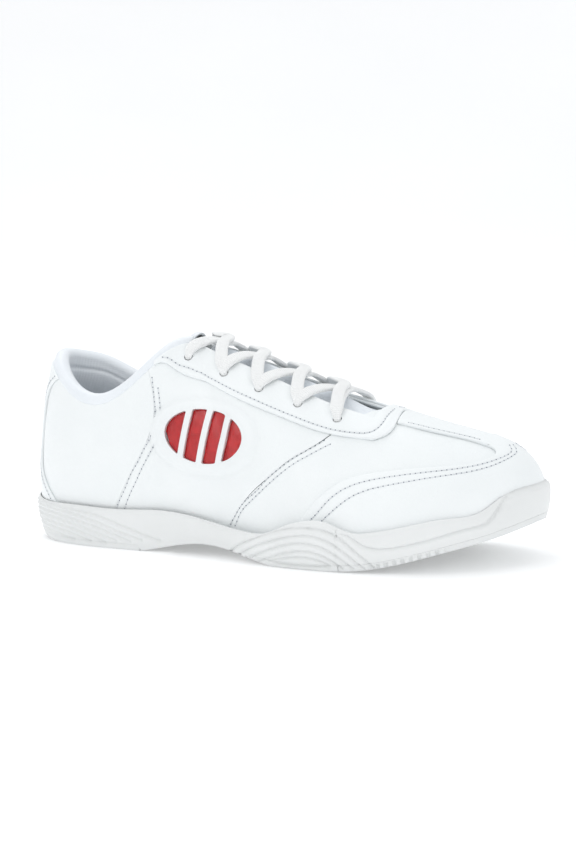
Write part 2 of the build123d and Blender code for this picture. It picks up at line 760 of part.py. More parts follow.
SHANK_LENGTH = 62
SHANK_WIDTH = 18
SHANK_PLACE = (-36, -2, 10.3)


def shank():
    return Pos(*SHANK_PLACE) * Box(SHANK_LENGTH, SHANK_WIDTH, SHANK)


def strobel_board():
    edge = flat(LINING_IN - 0.15)
    return tub(edge, raised(foot_height, -0.06), edge, raised(foot_height, BOARD))


def sockliner():
    edge = flat(LINING_IN - 0.5)
    low = raised(foot_height, BOARD + FIT)
    return tub(edge, low, edge, raised(low, SOCKLINER))


# ---------------------------------------------------------------- assembly
def punched(solid, side):
    """Round eyelet holes through every layer on one side."""
    for k, v in EYELETS:
        k = k if side == "lateral" else ROUND - k
        middle = at_depth(k, v, np.array(0.0))
        plane = Plane(origin=tuple(middle), z_dir=tuple(normal(k, v)))
        solid = solid - extrude(plane * Circle(EYELET_RADIUS), amount=6, both=True)
    return solid


def build():
    skin_depths = (0.0, -LEATHER)
    overlay_depths = (OVERLAY + 2 * FIT, 2 * FIT)
    stiff_depths = (-LEATHER - FIT, -LEATHER - FIT - STIFFENER)
    lining_depths = (LINING_OUT, LINING_IN)
    parts = sole_parts()
    parts["shank"] = shank()
    parts["strobel_board"] = strobel_board()
    parts["sockliner"] = sockliner()

    parts["heel_quarter_lateral"] = layer([heel_quarter()], *skin_depths, cuts=4, rows=2)
    parts["heel_quarter_medial"] = layer([mirrored(heel_quarter())], *skin_depths, cuts=4, rows=2)
    quarter_plain = layer([quarter()], *skin_depths, cuts=6, rows=3)
    parts["quarter_lateral"] = punched(quarter_plain, "lateral") - window_cutters()
    inner_quarter = layer([mirrored(quarter())], *skin_depths, cuts=6, rows=3)
    parts["quarter_medial"] = punched(inner_quarter, "medial")
    parts["vamp_lateral"] = layer([vamp()], *skin_depths, cuts=5, rows=2)
    parts["vamp_medial"] = layer([mirrored(vamp())], *skin_depths, cuts=5, rows=2)

    arm, bridge = eyestay_arm(), eyestay_bridge()
    eyestay = layer([arm, bridge, mirrored(arm), mirrored(bridge)], *overlay_depths, cuts=5)
    parts["eyestay"] = punched(punched(eyestay, "lateral"), "medial")
    toe = toe_overlay_patches()
    parts["toe_overlay"] = layer(toe + [mirrored(p) for p in toe], *overlay_depths)
    parts["backstay"] = layer([backstay()], *overlay_depths, cuts=3, rows=2)

    film_depths = (-LEATHER - FIT, -LEATHER - FIT - FILM)
    card_depths = (film_depths[1] - FIT / 2, film_depths[1] - FIT / 2 - CARD)
    parts["window_film"] = layer([window_patch(CARD_MARGIN)], *film_depths)
    parts["colour_card"] = layer([window_patch(CARD_MARGIN)], *card_depths)

    counter = between(flat(-COUNTER_END), flat(COUNTER_END), flat(0), flat(COUNTER_TOP))
    parts["heel_counter"] = layer([counter], *stiff_depths)
    puff = between(flat(PUFF_START), flat(TOE), flat(0.02), flat(1))
    parts["toe_puff"] = layer([puff, mirrored(puff)], *stiff_depths)

    lining = quarter_lining()
    lateral_lining = layer([lining], *lining_depths, cuts=6, rows=2)
    medial_lining = layer([mirrored(lining)], *lining_depths, cuts=6, rows=2)
    parts["quarter_lining_lateral"] = punched(lateral_lining, "lateral")
    parts["quarter_lining_medial"] = punched(medial_lining, "medial")
    front = front_lining()
    parts["vamp_lining"] = layer([front, mirrored(front)], *lining_depths)
    parts["collar_foam"] = collar_foam()
    parts["collar_lining"] = collar_lining()

    parts["tongue_cover"] = tongue_layer(0, 0.20)
    parts["tongue_foam"] = tongue_layer(0.22, 0.80)
    parts["tongue_lining"] = tongue_layer(0.82, 1)
    parts["lace"] = Compound(children=lace_spans())
    return parts


def main():
    os.makedirs("parts", exist_ok=True)
    shoe = build()
    for name, shape in shoe.items():
        export_step(Pos(*ORIGIN_SHIFT) * shape, f"parts/{name}.step")
    whole = Compound(children=[Pos(*ORIGIN_SHIFT) * s for s in shoe.values()]).bounding_box()
    print("box", whole.min, whole.max)


main()
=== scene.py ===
import math
import bpy
import bmesh
import numpy as np
from mathutils import Matrix, Vector


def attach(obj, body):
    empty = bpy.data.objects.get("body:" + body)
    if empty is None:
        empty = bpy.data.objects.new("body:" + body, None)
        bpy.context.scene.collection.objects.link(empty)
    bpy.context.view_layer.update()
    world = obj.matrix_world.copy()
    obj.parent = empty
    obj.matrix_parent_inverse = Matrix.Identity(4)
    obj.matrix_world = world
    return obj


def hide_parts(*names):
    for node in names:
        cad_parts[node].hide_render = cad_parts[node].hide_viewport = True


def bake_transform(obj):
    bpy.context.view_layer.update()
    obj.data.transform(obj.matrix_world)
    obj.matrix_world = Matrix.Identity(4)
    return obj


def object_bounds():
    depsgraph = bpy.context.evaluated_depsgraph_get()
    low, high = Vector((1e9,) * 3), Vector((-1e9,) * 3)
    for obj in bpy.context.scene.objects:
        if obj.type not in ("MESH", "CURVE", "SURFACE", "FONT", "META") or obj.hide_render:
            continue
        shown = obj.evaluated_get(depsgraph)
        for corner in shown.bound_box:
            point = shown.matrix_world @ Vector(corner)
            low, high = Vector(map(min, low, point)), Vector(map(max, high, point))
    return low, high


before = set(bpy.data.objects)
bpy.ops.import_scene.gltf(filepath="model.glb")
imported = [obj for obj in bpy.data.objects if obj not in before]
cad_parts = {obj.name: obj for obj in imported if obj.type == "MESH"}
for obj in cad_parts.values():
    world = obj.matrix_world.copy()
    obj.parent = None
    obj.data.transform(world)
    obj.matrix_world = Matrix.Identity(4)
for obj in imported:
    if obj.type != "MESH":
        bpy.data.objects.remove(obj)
cad_low, cad_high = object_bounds()
rng = np.random.default_rng(11)

# The shape formulas work in millimetres in drafting axes. SHIFT takes them to the frame.
SHIFT = np.array([cad_low.x * 1000 + 132.465, (cad_low.y + cad_high.y) * 500 + 0.77, cad_low.z * 1000])

# Thicknesses of the layers, and the play between two of them.
LEATHER, OVERLAY, STIFFENER, LINING, FIT = 1.3, 1.2, 0.9, 0.95, 0.10
LINING_OUT = -(LEATHER + STIFFENER + 3 * FIT)
LINING_IN = LINING_OUT - LINING
COLLAR_FOAM, COLLAR_ROLL = 4.2, 3.2
COLLAR_FRONT = 5.55    # k where the padded collar ends on each side
OUTSOLE, OUTSOLE_WALL, DRAFT = 3.0, 1.2, 2.6
SEAM = 0.002           # half the play between two panels edge to edge, in k
TOP_TRIM = 0.985       # leather ends here, under the rolled collar
OVERLAY_LOW = 0.03     # v where the overlays start, inside the cup of the sole
LEATHER_FACE, OVERLAY_FACE = 0.0, 1.4   # depths at which the stitches lie
MM_PER_K, MM_PER_V = 31, 76             # rough size of the skin's k and v

# Stations from heel to toe. Each row: bottom edge outer side (x, y), bottom edge inner side,
# top edge outer side (x, y, z), top edge inner side, then how the wall bulges: outward and
# upward reach of the lower handle, outward and downward reach of the upper handle.
STATIONS = [
    ((-128.5, 0), (-128.5, 0), (-121.5, 0, 86.5), (-121.5, 0, 86.5), (2.5, 20, 6.5, 22)),
    ((-120, -18.5), (-120, 18), (-116, -12.5, 82.5), (-116, 12.5, 84.5), (2.5, 19, 5, 20)),
    ((-100, -28), (-100, 26.5), (-102, -21.5, 72), (-103, 21, 80), (2.5, 17, 3.5, 17)),
    ((-76, -31), (-77, 28), (-84, -25, 68.5), (-84, 24.5, 72), (2.5, 17, 2.5, 16)),
    ((-50, -31.5), (-52, 26), (-67, -22, 79), (-66, 23, 79.5), (2, 20, 4, 20)),
    ((-24, -33), (-26, 26.5), (-52, -14.5, 93), (-52, 15.5, 94), (2, 24, 9, 20)),
    ((0, -37.5), (0, 30.5), (-36, 0, 95.5), (-36, 0, 95.5), (1, 28, 17, 6)),
    ((24, -42), (25, 36.5), (-5, 1, 85.5), (-5, 1, 85.5), (0.5, 26, 18, 3)),
    ((48, -43.5), (49, 41.5), (24, 2, 75.5), (24, 2, 75.5), (1.5, 22, 21, 1.5)),
    ((72, -41.5), (72, 42.5), (52, 3, 67), (52, 3, 67), (3, 19, 24, 0)),
    ((94, -34), (94, 38), (76, 4, 60.5), (76, 4, 60.5), (3.5, 18, 24, 0)),
    ((113, -17.5), (113, 28.5), (94, 5, 57), (94, 5, 57), (3.5, 17, 20, 0)),
    ((122.5, 7), (122.5, 7), (103, 6, 55.5), (103, 6, 55.5), (3, 17, 15, 0)),
]
TOE = len(STATIONS) - 1
ROUND = 2 * TOE
RIDGE_FALL = -0.3      # cross slope of the instep at the ridge


# ---------------------------------------------------------------- smooth curves and the skin
def cubic(xs, ys, closed=False):
    xs = np.asarray(xs, float)
    ys = np.asarray(ys, float)
    flat_values = ys.ndim == 1
    if flat_values:
        ys = ys[:, None]
    n = len(xs)
    h = np.diff(xs)
    slope = np.diff(ys, axis=0) / h[:, None]
    a = np.zeros((n, n))
    b = np.zeros_like(ys)
    for i in range(1, n - 1):
        a[i, i - 1:i + 2] = h[i], 2 * (h[i] + h[i - 1]), h[i - 1]
        b[i] = 3 * (h[i] * slope[i - 1] + h[i - 1] * slope[i])
    if closed:
        a[0, [0, 1, n - 2]] = 2 * (h[0] + h[-1]), h[-1], h[0]
        b[0] = 3 * (h[-1] * slope[0] + h[0] * slope[-1])
        a[-1, [0, -1]] = 1, -1
    else:
        a[0, :2] = 2, 1
        a[-1, -2:] = 1, 2
        b[0] = 3 * slope[0]
        b[-1] = 3 * slope[-1]
    m = np.linalg.solve(a, b)

    def value(x):
        x = np.asarray(x, float)
        if closed:
            x = xs[0] + np.mod(x - xs[0], xs[-1] - xs[0])
        i = np.clip(np.searchsorted(xs, x, side="right") - 1, 0, n - 2)
        t = ((x - xs[i]) / h[i])[..., None]
        step = h[i][..., None]
        out = (1 + 2 * t) * (1 - t) ** 2 * ys[i] + t * (1 - t) ** 2 * step * m[i]
        out = out + t * t * (3 - 2 * t) * ys[i + 1] + t * t * (t - 1) * step * m[i + 1]
        return out[..., 0] if flat_values else out

    return value


def around(outer, inner):
    rows = [outer(s) for s in STATIONS] + [inner(s) for s in STATIONS[-2::-1]]
    return cubic(np.arange(ROUND + 1), np.array(rows, float), closed=True)


def smoothstep(x):
    x = np.clip(x, 0, 1)
    return x * x * (3 - 2 * x)


bottom_edge = around(lambda s: s[0], lambda s: s[1])
top_edge = around(lambda s: s[2], lambda s: s[3])
handles = around(lambda s: s[4], lambda s: s[4])
foot_height = cubic([-132, -60, -20, 20, 60, 90, 110, 125], [13, 12, 12, 10, 10.5, 14, 18.5, 23.5])


def outward(k):
    step = bottom_edge(k + 1e-3) - bottom_edge(k - 1e-3)
    step = step / np.linalg.norm(step, axis=-1, keepdims=True)
    return np.stack([step[..., 1], -step[..., 0]], -1)


def from_heel(k):
    k = np.mod(k, ROUND)
    return np.minimum(k, ROUND - k)


def skin(k, v):
    k, v = np.broadcast_arrays(np.asarray(k, float), np.asarray(v, float))
    foot = bottom_edge(k)
    foot = np.concatenate([foot, foot_height(foot[..., 0])[..., None]], -1)
    joined = 0.5 * smoothstep((from_heel(k) - 5.75) / 0.25)[..., None]
    top = top_edge(k) * (1 - joined) + top_edge(ROUND - k) * joined
    out = outward(k)
    low_out, low_up, high_out, high_down = np.moveaxis(handles(k), -1, 0)
    fall = smoothstep((from_heel(k) - 5) / 1.5) * RIDGE_FALL * out[..., 0] * high_out
    low = foot + np.stack([out[..., 0] * low_out, out[..., 1] * low_out, low_up], -1)
    high = top + np.stack([out[..., 0] * high_out, out[..., 1] * high_out, fall - high_down], -1)
    v = v[..., None]
    w = 1 - v
    return w ** 3 * foot + 3 * w * w * v * low + 3 * w * v * v * high + v ** 3 * top


def one_side_normal(k, v, e=2e-3):
    v = np.minimum(v, 0.99)
    n = np.cross(skin(k + e, v) - skin(k - e, v), skin(k, v + e) - skin(k, v - e))
    return n / np.linalg.norm(n, axis=-1, keepdims=True)


def normal(k, v):
    k, v = np.broadcast_arrays(np.asarray(k, float), np.asarray(v, float))
    n = one_side_normal(k, v)
    other = one_side_normal(ROUND - k, v)
    share = 0.5 * smoothstep((v - 0.8) / 0.2) * smoothstep((from_heel(k) - 5.2) / 0.8)
    n = n * (1 - share[..., None]) + other * share[..., None]
    return n / np.linalg.norm(n, axis=-1, keepdims=True)


def at_depth(k, v, d):
    k, v, d = np.broadcast_arrays(np.asarray(k, float), np.asarray(v, float), d)
    return skin(k, v) + normal(k, v) * d[..., None]


quarter_front = cubic([0, .16, .29, .41, .51, .66, .8, 1], [5.4, 5.98, 6.68, 7.26, 7.77, 8.3, 8.65, 9.05])
heel_seam = cubic([0, .15, .33, .52, .64, .79, 1], [2.95, 3.13, 3.44, 3.97, 4.36, 4.52, 4.40])
backstay_half = cubic([0, .14, .35, .55, .78, .97], [1.75, 1.5, .7, .5, .8, 1.4])
throat_edge = cubic([4.3, 4.7, 5.1, 5.5, 5.9, 6.2, 6.6, 7.2, 8, 8.9],
                    [.985, .985, .98, .955, .895, .855, .835, .825, .80, .80])
eyestay_low = cubic([4.6, 4.85, 5.3, 5.85, 6.4, 7.2, 8.0, 8.8], [.955, .925, .79, .68, .62, .605, .60, .635])
wing_top = cubic([7.1, 7.5, 7.9, 8.35, 9.2, 10.0, 10.6, 11], [.08, .20, .30, .385, .475, .54, .585, .65])
strip_low = cubic([9.3, 9.8, 10.3, 10.7, 11], [.82, .835, .84, .82, .78])
lining_top = cubic([0, 3, 4.4, 5.2, 5.7, 6.1, 6.5, 7.2, 8.9], [.60, .60, .64, .76, .86, .84, .81, .80, .78])
lining_joint = cubic([0, .3, .6, 1], [8.08, 8.22, 8.50, 8.92])


def flat(value):
    return lambda x: np.full(np.shape(x), float(value))


def mirrored(patch):
    def other(s, t):
        k, v = patch(s, t)
        return ROUND - k, v
    return other


def between(left, right, low, high):
    def patch(s, t):
        return left(t) * (1 - s) + right(t) * s, low(s) * (1 - t) + high(s) * t
    return patch


# ---------------------------------------------------------------- meshes
def mesh_object(name, verts_mm, faces, uvs=None, sharp=()):
    mesh = bpy.data.meshes.new(name)
    co = (np.asarray(verts_mm, float) + SHIFT) * 0.001
    mesh.from_pydata([tuple(p) for p in co], [], [tuple(f) for f in faces])
    mesh.update()
    mesh.polygons.foreach_set("use_smooth", np.ones(len(mesh.polygons), bool))
    if uvs is not None:
        layer = mesh.uv_layers.new(name="weave")
        index = np.zeros(len(mesh.loops), np.int32)
        mesh.loops.foreach_get("vertex_index", index)
        layer.data.foreach_set("uv", np.asarray(uvs, np.float32)[index].ravel())
    if sharp:
        for edge in mesh.edges:
            edge.use_edge_sharp = frozenset(edge.vertices) in sharp
    obj = bpy.data.objects.new(name, mesh)
    bpy.context.scene.collection.objects.link(obj)
    return obj


def grid_faces(n, m, base=0, flip=False):
    i, j = np.meshgrid(np.arange(n - 1), np.arange(m - 1), indexing="ij")
    a = (base + i * m + j).ravel()
    quads = np.stack([a, a + m, a + m + 1, a + 1], 1)
    return (quads[:, ::-1] if flip else quads).tolist()


def rim_faces(ring_out, ring_in):
    return [[a, b, d, c] for a, b, c, d in zip(ring_out[:-1], ring_out[1:], ring_in[:-1], ring_in[1:])]


def shell(grids, flip=False):
    """Vertices and faces of closed thin shells. Each grid is (outer, inner, open sides)."""
    verts, faces = [], []
    base = 0
    for outer, inner, sides in grids:
        n, m = outer.shape[:2]
        verts += [outer.reshape(-1, 3), inner.reshape(-1, 3)]
        size = n * m
        faces += grid_faces(n, m, base, flip)
        faces += grid_faces(n, m, base + size, not flip)
        index = np.arange(size).reshape(n, m) + base
        for side in sides:
            line = {"L": index[0], "R": index[-1, ::-1], "B": index[::-1, 0], "T": index[:, -1]}[side]
            rows = rim_faces(line, line + size)
            faces += [r[::-1] for r in rows] if flip else rows
        base += 2 * size
    return np.concatenate(verts), faces


def spaced(length, step, low_open, high_open, roll):
    """Grid lines from 0 to 1, closer together near the open ends."""
    n = max(4, int(round(length / step)))
    lines = np.linspace(0, 1, n + 1)
    fine = np.array([0.0, .06, .22, .5, 1.0, 1.7]) * roll / length
    gap = 2.3 * roll / length
    if low_open:
        lines = np.concatenate([fine, lines[lines > gap]])
    if high_open:
        lines = np.concatenate([lines[lines < 1 - gap], (1 - fine)[::-1]])
    return lines


def edge_drop(points, sides, roll):
    """How far the outer face has fallen where it rolls over at the open edges."""
    n, m = points.shape[:2]
    away = np.full((n, m), 1e9)
    along_s = np.linalg.norm(np.diff(points, axis=0), axis=-1)
    along_t = np.linalg.norm(np.diff(points, axis=1), axis=-1)
    zero_s, zero_t = np.zeros((1, m)), np.zeros((n, 1))
    from_left = np.concatenate([zero_s, np.cumsum(along_s, 0)])
    from_low = np.concatenate([zero_t, np.cumsum(along_t, 1)], 1)
    if "L" in sides:
        away = np.minimum(away, from_left)
    if "R" in sides:
        away = np.minimum(away, from_left[-1] - from_left)
    if "B" in sides:
        away = np.minimum(away, from_low)
    if "T" in sides:
        away = np.minimum(away, from_low[:, -1:] - from_low)
    x = np.clip(away / roll, 0, 1)
    return roll * (1 - np.sqrt(np.maximum(0, 1 - (1 - x) ** 2)))


def near_lines(points, lines):
    """Distance in mm from each point to the nearest of some lines."""
    shape = points.shape[:-1]
    flat_points = points.reshape(-1, points.shape[-1])
    best = np.full(len(flat_points), 1e9)
    for line in lines:
        for chunk in np.array_split(np.arange(len(flat_points)), max(1, len(flat_points) // 4000)):
            d = np.linalg.norm(flat_points[chunk, None] - line[None], axis=-1).min(1)
            best[chunk] = np.minimum(best[chunk], d)
    return best.reshape(shape)


def run_along(points):
    """Length in mm along a line up to each of its points."""
    return np.concatenate([[0], np.cumsum(np.linalg.norm(np.diff(points, axis=0), axis=1))])


def soft_noise(points, scale, seed):
    """Smooth wandering between about -1 and 1, from a few sine waves."""
    r = np.random.default_rng(seed)
    out = 0
    for _ in range(7):
        wave = r.normal(size=3) / scale
        out = out + np.sin(points @ wave + r.uniform(0, 6.28)) / 3.2
    return out


def clip_cells(faces, keep, values):
    """Cuts faces at keep = 0. values are rows to interpolate onto the new vertices."""
    values = [row for row in values]
    made = {}
    out = []

    def crossing(a, b):
        key = (min(a, b), max(a, b))
        if key not in made:
            t = keep[key[0]] / (keep[key[0]] - keep[key[1]])
            made[key] = len(values)
            values.append(values[key[0]] * (1 - t) + values[key[1]] * t)
        return made[key]

    for f in faces:
        inside = [keep[i] > 0 for i in f]
        if all(inside):
            out.append(list(f))
            continue
        if not any(inside):
            continue
        poly = []
        for i, a in enumerate(f):
            b = f[(i + 1) % len(f)]
            if keep[a] > 0:
                poly.append(a)
            if (keep[a] > 0) != (keep[b] > 0):
                poly.append(crossing(a, b))
        if len(poly) >= 3:
            out.append(poly)
    return out, np.array(values), set(made.values())


def panel(name, patches, outer, inner, step=1.1, roll=0.5, lines=(), groove=0.12, wander=0.05,
          shape=None, keep=None, seed=1):
    """A closed sheet of leather or cloth over (k, v) patches, cut out where keep is negative.

    Each patch is (function, open sides); a small letter is a side with no rolled edge.
    outer and inner are depths in mm.
    """
    verts, faces = [], []
    sharp = set()
    base = 0
    for patch, sides in patches:
        mid_s = skin(*patch(np.linspace(0, 1, 40), np.full(40, .5)))
        mid_t = skin(*patch(np.full(40, .5), np.linspace(0, 1, 40)))
        length = [np.linalg.norm(np.diff(p, axis=0), axis=1).sum() for p in (mid_s, mid_t)]
        s = spaced(length[0], step, "L" in sides, "R" in sides, roll)
        t = spaced(length[1], step, "B" in sides, "T" in sides, roll)
        k, v = patch(*np.meshgrid(s, t, indexing="ij"))
        place = skin(k, v)
        drop = edge_drop(place, sides, roll)
        rolled = {side for side in sides if side.isupper()}
        sides = sides.upper()
        n, m = k.shape
        corner = np.cross(place[1, 0] - place[0, 0], place[0, 1] - place[0, 0])
        flip = corner @ normal(k[0, 0], v[0, 0]) < 0
        cells = grid_faces(n, m, 0, flip)
        rows = np.stack([k.ravel(), v.ravel(), drop.ravel()], 1)
        border, crisp = set(), set()
        for side, ring in (("L", [(0, j) for j in range(m)]), ("R", [(n - 1, j) for j in range(m)]),
                           ("B", [(i, 0) for i in range(n)]), ("T", [(i, m - 1) for i in range(n)])):
            if side in sides:
                index = [a * m + b for a, b in ring]
                edges = {frozenset(e) for e in zip(index[:-1], index[1:])}
                border |= edges
                if side not in rolled:
                    crisp |= edges
        cut = set()
        if keep is not None:
            cells, rows, cut = clip_cells(cells, keep(place).ravel(), rows)
        k, v, drop = rows.T
        d_out = outer(k, v) if callable(outer) else np.full(len(k), float(outer))
        d_in = inner(k, v) if callable(inner) else np.full(len(k), float(inner))
        here = at_depth(k, v, d_out)
        lift = wander * soft_noise(here, 16, seed) - wander * 0.5
        if lines:
            away = near_lines(here, lines)
            lift = lift - groove * np.exp(-(away / 0.8) ** 2) + 0.10 * np.exp(-((away - 2.4) / 1.3) ** 2)
        if shape is not None:
            lift = lift + shape(here, k, v)
        room = (d_out - d_in) - 0.05
        d_top = d_out + lift - np.minimum(drop, room)
        verts += [at_depth(k, v, d_top), at_depth(k, v, d_in)]
        size = len(k)
        faces += [[base + i for i in f] for f in cells]
        faces += [[base + size + i for i in reversed(f)] for f in cells]
        count = {}
        for f in cells:
            for a, b in zip(f, f[1:] + f[:1]):
                count.setdefault(frozenset((a, b)), []).append((a, b))
        for e, uses in count.items():
            if len(uses) == 1 and (e in border or all(i in cut for i in e)):
                a, b = uses[0]
                faces.append([base + b, base + a, base + size + a, base + size + b])
                if e in crisp or all(i in cut for i in e):
                    sharp.add(frozenset((base + a, base + b)))
        base += 2 * size
    return mesh_object(name, np.concatenate(verts), faces, sharp=sharp)


# ---------------------------------------------------------------- materials
def material(name, colour, rough, build=None, **inputs):
    mat = bpy.data.materials.new(name)
    mat.use_nodes = True
    tree = mat.node_tree
    shader = tree.nodes["Principled BSDF"]
    shader.inputs["Base Color"].default_value = (*colour, 1)
    shader.inputs["Roughness"].default_value = rough
    for key, value in inputs.items():
        shader.inputs[key.replace("_", " ")].default_value = value
    if build:
        build(tree, shader)
    return mat


def node(tree, kind, **values):
    made = tree.nodes.new(kind)
    for key, value in values.items():
        if key in made.inputs.keys() or key.replace("_", " ") in made.inputs.keys():
            made.inputs[key if key in made.inputs.keys() else key.replace("_", " ")].default_value = value
        else:
            setattr(made, key, value)
    return made


def coords(tree, kind="Object"):
    return tree.nodes.new("ShaderNodeTexCoord").outputs[kind]


def bump(tree, shader, height, distance, strength=1.0, below=None):
    b = node(tree, "ShaderNodeBump", Strength=strength, Distance=distance)
    tree.links.new(height, b.inputs["Height"])
    if below is not None:
        tree.links.new(below.outputs["Normal"], b.inputs["Normal"])
    tree.links.new(b.outputs["Normal"], shader.inputs["Normal"])
    return b


def ramp_between(tree, value, low, high, a=0.3, b=0.7):
    r = tree.nodes.new("ShaderNodeValToRGB")
    r.color_ramp.elements[0].position = a
    r.color_ramp.elements[1].position = b
    r.color_ramp.elements[0].color = (*low, 1)
    r.color_ramp.elements[1].color = (*high, 1)
    tree.links.new(value, r.inputs["Fac"])
    return r.outputs["Color"]


def noise_tex(tree, vector, scale, detail=4.0, rough=0.55):
    n = node(tree, "ShaderNodeTexNoise", Scale=scale, Detail=detail, Roughness=rough)
    tree.links.new(vector, n.inputs["Vector"])
    return n.outputs["Fac"]


def value_between(tree, value, low, high):
    m = tree.nodes.new("ShaderNodeMapRange")
    m.inputs["To Min"].default_value = low
    m.inputs["To Max"].default_value = high
    tree.links.new(value, m.inputs["Value"])
    return m.outputs["Result"]


def tint(tree, shader, value, low, high, a=0.3, b=0.7):
    tree.links.new(ramp_between(tree, value, low, high, a, b), shader.inputs["Base Color"])


def gloss(tree, shader, value, low, high):
    tree.links.new(value_between(tree, value, low, high), shader.inputs["Roughness"])


def maths(tree, operation, a, b=None):
    m = tree.nodes.new("ShaderNodeMath")
    m.operation = operation
    for socket, given in zip(m.inputs, (a, b)):
        if given is None:
            continue
        if isinstance(given, (int, float)):
            socket.default_value = given
        else:
            tree.links.new(given, socket)
    return m.outputs["Value"]


def leather_nodes(low, high, grain=1.0):
    def build(tree, shader):
        at = coords(tree)
        tone = noise_tex(tree, at, 26, 3)
        tint(tree, shader, tone, low, high)
        cells = node(tree, "ShaderNodeTexVoronoi", Scale=1350.0)
        tree.links.new(at, cells.inputs["Vector"])
        creases = noise_tex(tree, at, 420, 6, 0.62)
        first = bump(tree, shader, creases, 0.00022 * grain, 0.5)
        bump(tree, shader, cells.outputs["Distance"], 0.00011 * grain, 0.55, first)
        gloss(tree, shader, noise_tex(tree, at, 160, 3), 0.34, 0.5)
    return build


def satin_nodes(low, high, scale=2600.0):
    def build(tree, shader):
        at = coords(tree)
        tone = noise_tex(tree, at, 40, 3)
        tint(tree, shader, tone, low, high)
        sep = tree.nodes.new("ShaderNodeSeparateXYZ")
        tree.links.new(at, sep.inputs["Vector"])
        x, y, z = (sep.outputs[axis] for axis in "XYZ")
        a = maths(tree, "SINE", maths(tree, "MULTIPLY", maths(tree, "ADD", x, z), scale))
        b = maths(tree, "SINE", maths(tree, "MULTIPLY", maths(tree, "SUBTRACT", z, y), scale * 1.3))
        soft = bump(tree, shader, noise_tex(tree, at, 90, 4), 0.0009, 0.35)
        bump(tree, shader, maths(tree, "MULTIPLY", a, b), 0.00006, 0.5, soft)
    return build


def lace_nodes(tree, shader):
    uv = node(tree, "ShaderNodeUVMap", uv_map="weave")
    sep = tree.nodes.new("ShaderNodeSeparateXYZ")
    tree.links.new(uv.outputs["UV"], sep.inputs["Vector"])
    u, v = sep.outputs["X"], sep.outputs["Y"]
    across = maths(tree, "ABSOLUTE", maths(tree, "SINE", maths(tree, "MULTIPLY", v, 5.2)))
    slant = maths(tree, "ADD", maths(tree, "MULTIPLY", u, 7.4), maths(tree, "MULTIPLY", across, 1.9))
    rib = maths(tree, "SINE", slant)
    knit = maths(tree, "MULTIPLY", maths(tree, "ADD", rib, 1.0), maths(tree, "ADD", across, 0.35))
    at = coords(tree)
    fuzz = bump(tree, shader, noise_tex(tree, at, 900, 5), 0.0002, 0.5)
    bump(tree, shader, knit, 0.00013, 0.6, fuzz)
    # The weave's grooves are tinted darker than its ridges: painted shade between the yarns.
    tint(tree, shader, knit, (.90, .91, .905), (.965, .97, .965), 0.0, 1.0)


def rubber_nodes(low, high, speckle=0.00010):
    def build(tree, shader):
        at = coords(tree)
        tone = noise_tex(tree, at, 30, 4)
        tint(tree, shader, tone, low, high)
        first = bump(tree, shader, noise_tex(tree, at, 1500, 3), speckle, 0.5)
        bump(tree, shader, noise_tex(tree, at, 120, 3), 0.00025, 0.3, first)
        gloss(tree, shader, noise_tex(tree, at, 220, 3), 0.42, 0.58)
    return build


def fibre_nodes(low, high, scale=700):
    def build(tree, shader):
        at = coords(tree)
        n = noise_tex(tree, at, scale, 8, 0.7)
        tint(tree, shader, n, low, high)
        bump(tree, shader, n, 0.0004, 0.6)
    return build


def card_nodes(tree, shader):
    at = coords(tree)
    n = noise_tex(tree, at, 260, 6, 0.7)
    tint(tree, shader, n, (.50, .012, .018), (.78, .035, .04))
    bump(tree, shader, noise_tex(tree, at, 60, 3), 0.0012, 0.4)


def film_nodes(tree, shader):
    at = coords(tree)
    bump(tree, shader, noise_tex(tree, at, 70, 2), 0.0010, 0.35)
    gloss(tree, shader, noise_tex(tree, at, 300, 3), 0.04, 0.12)


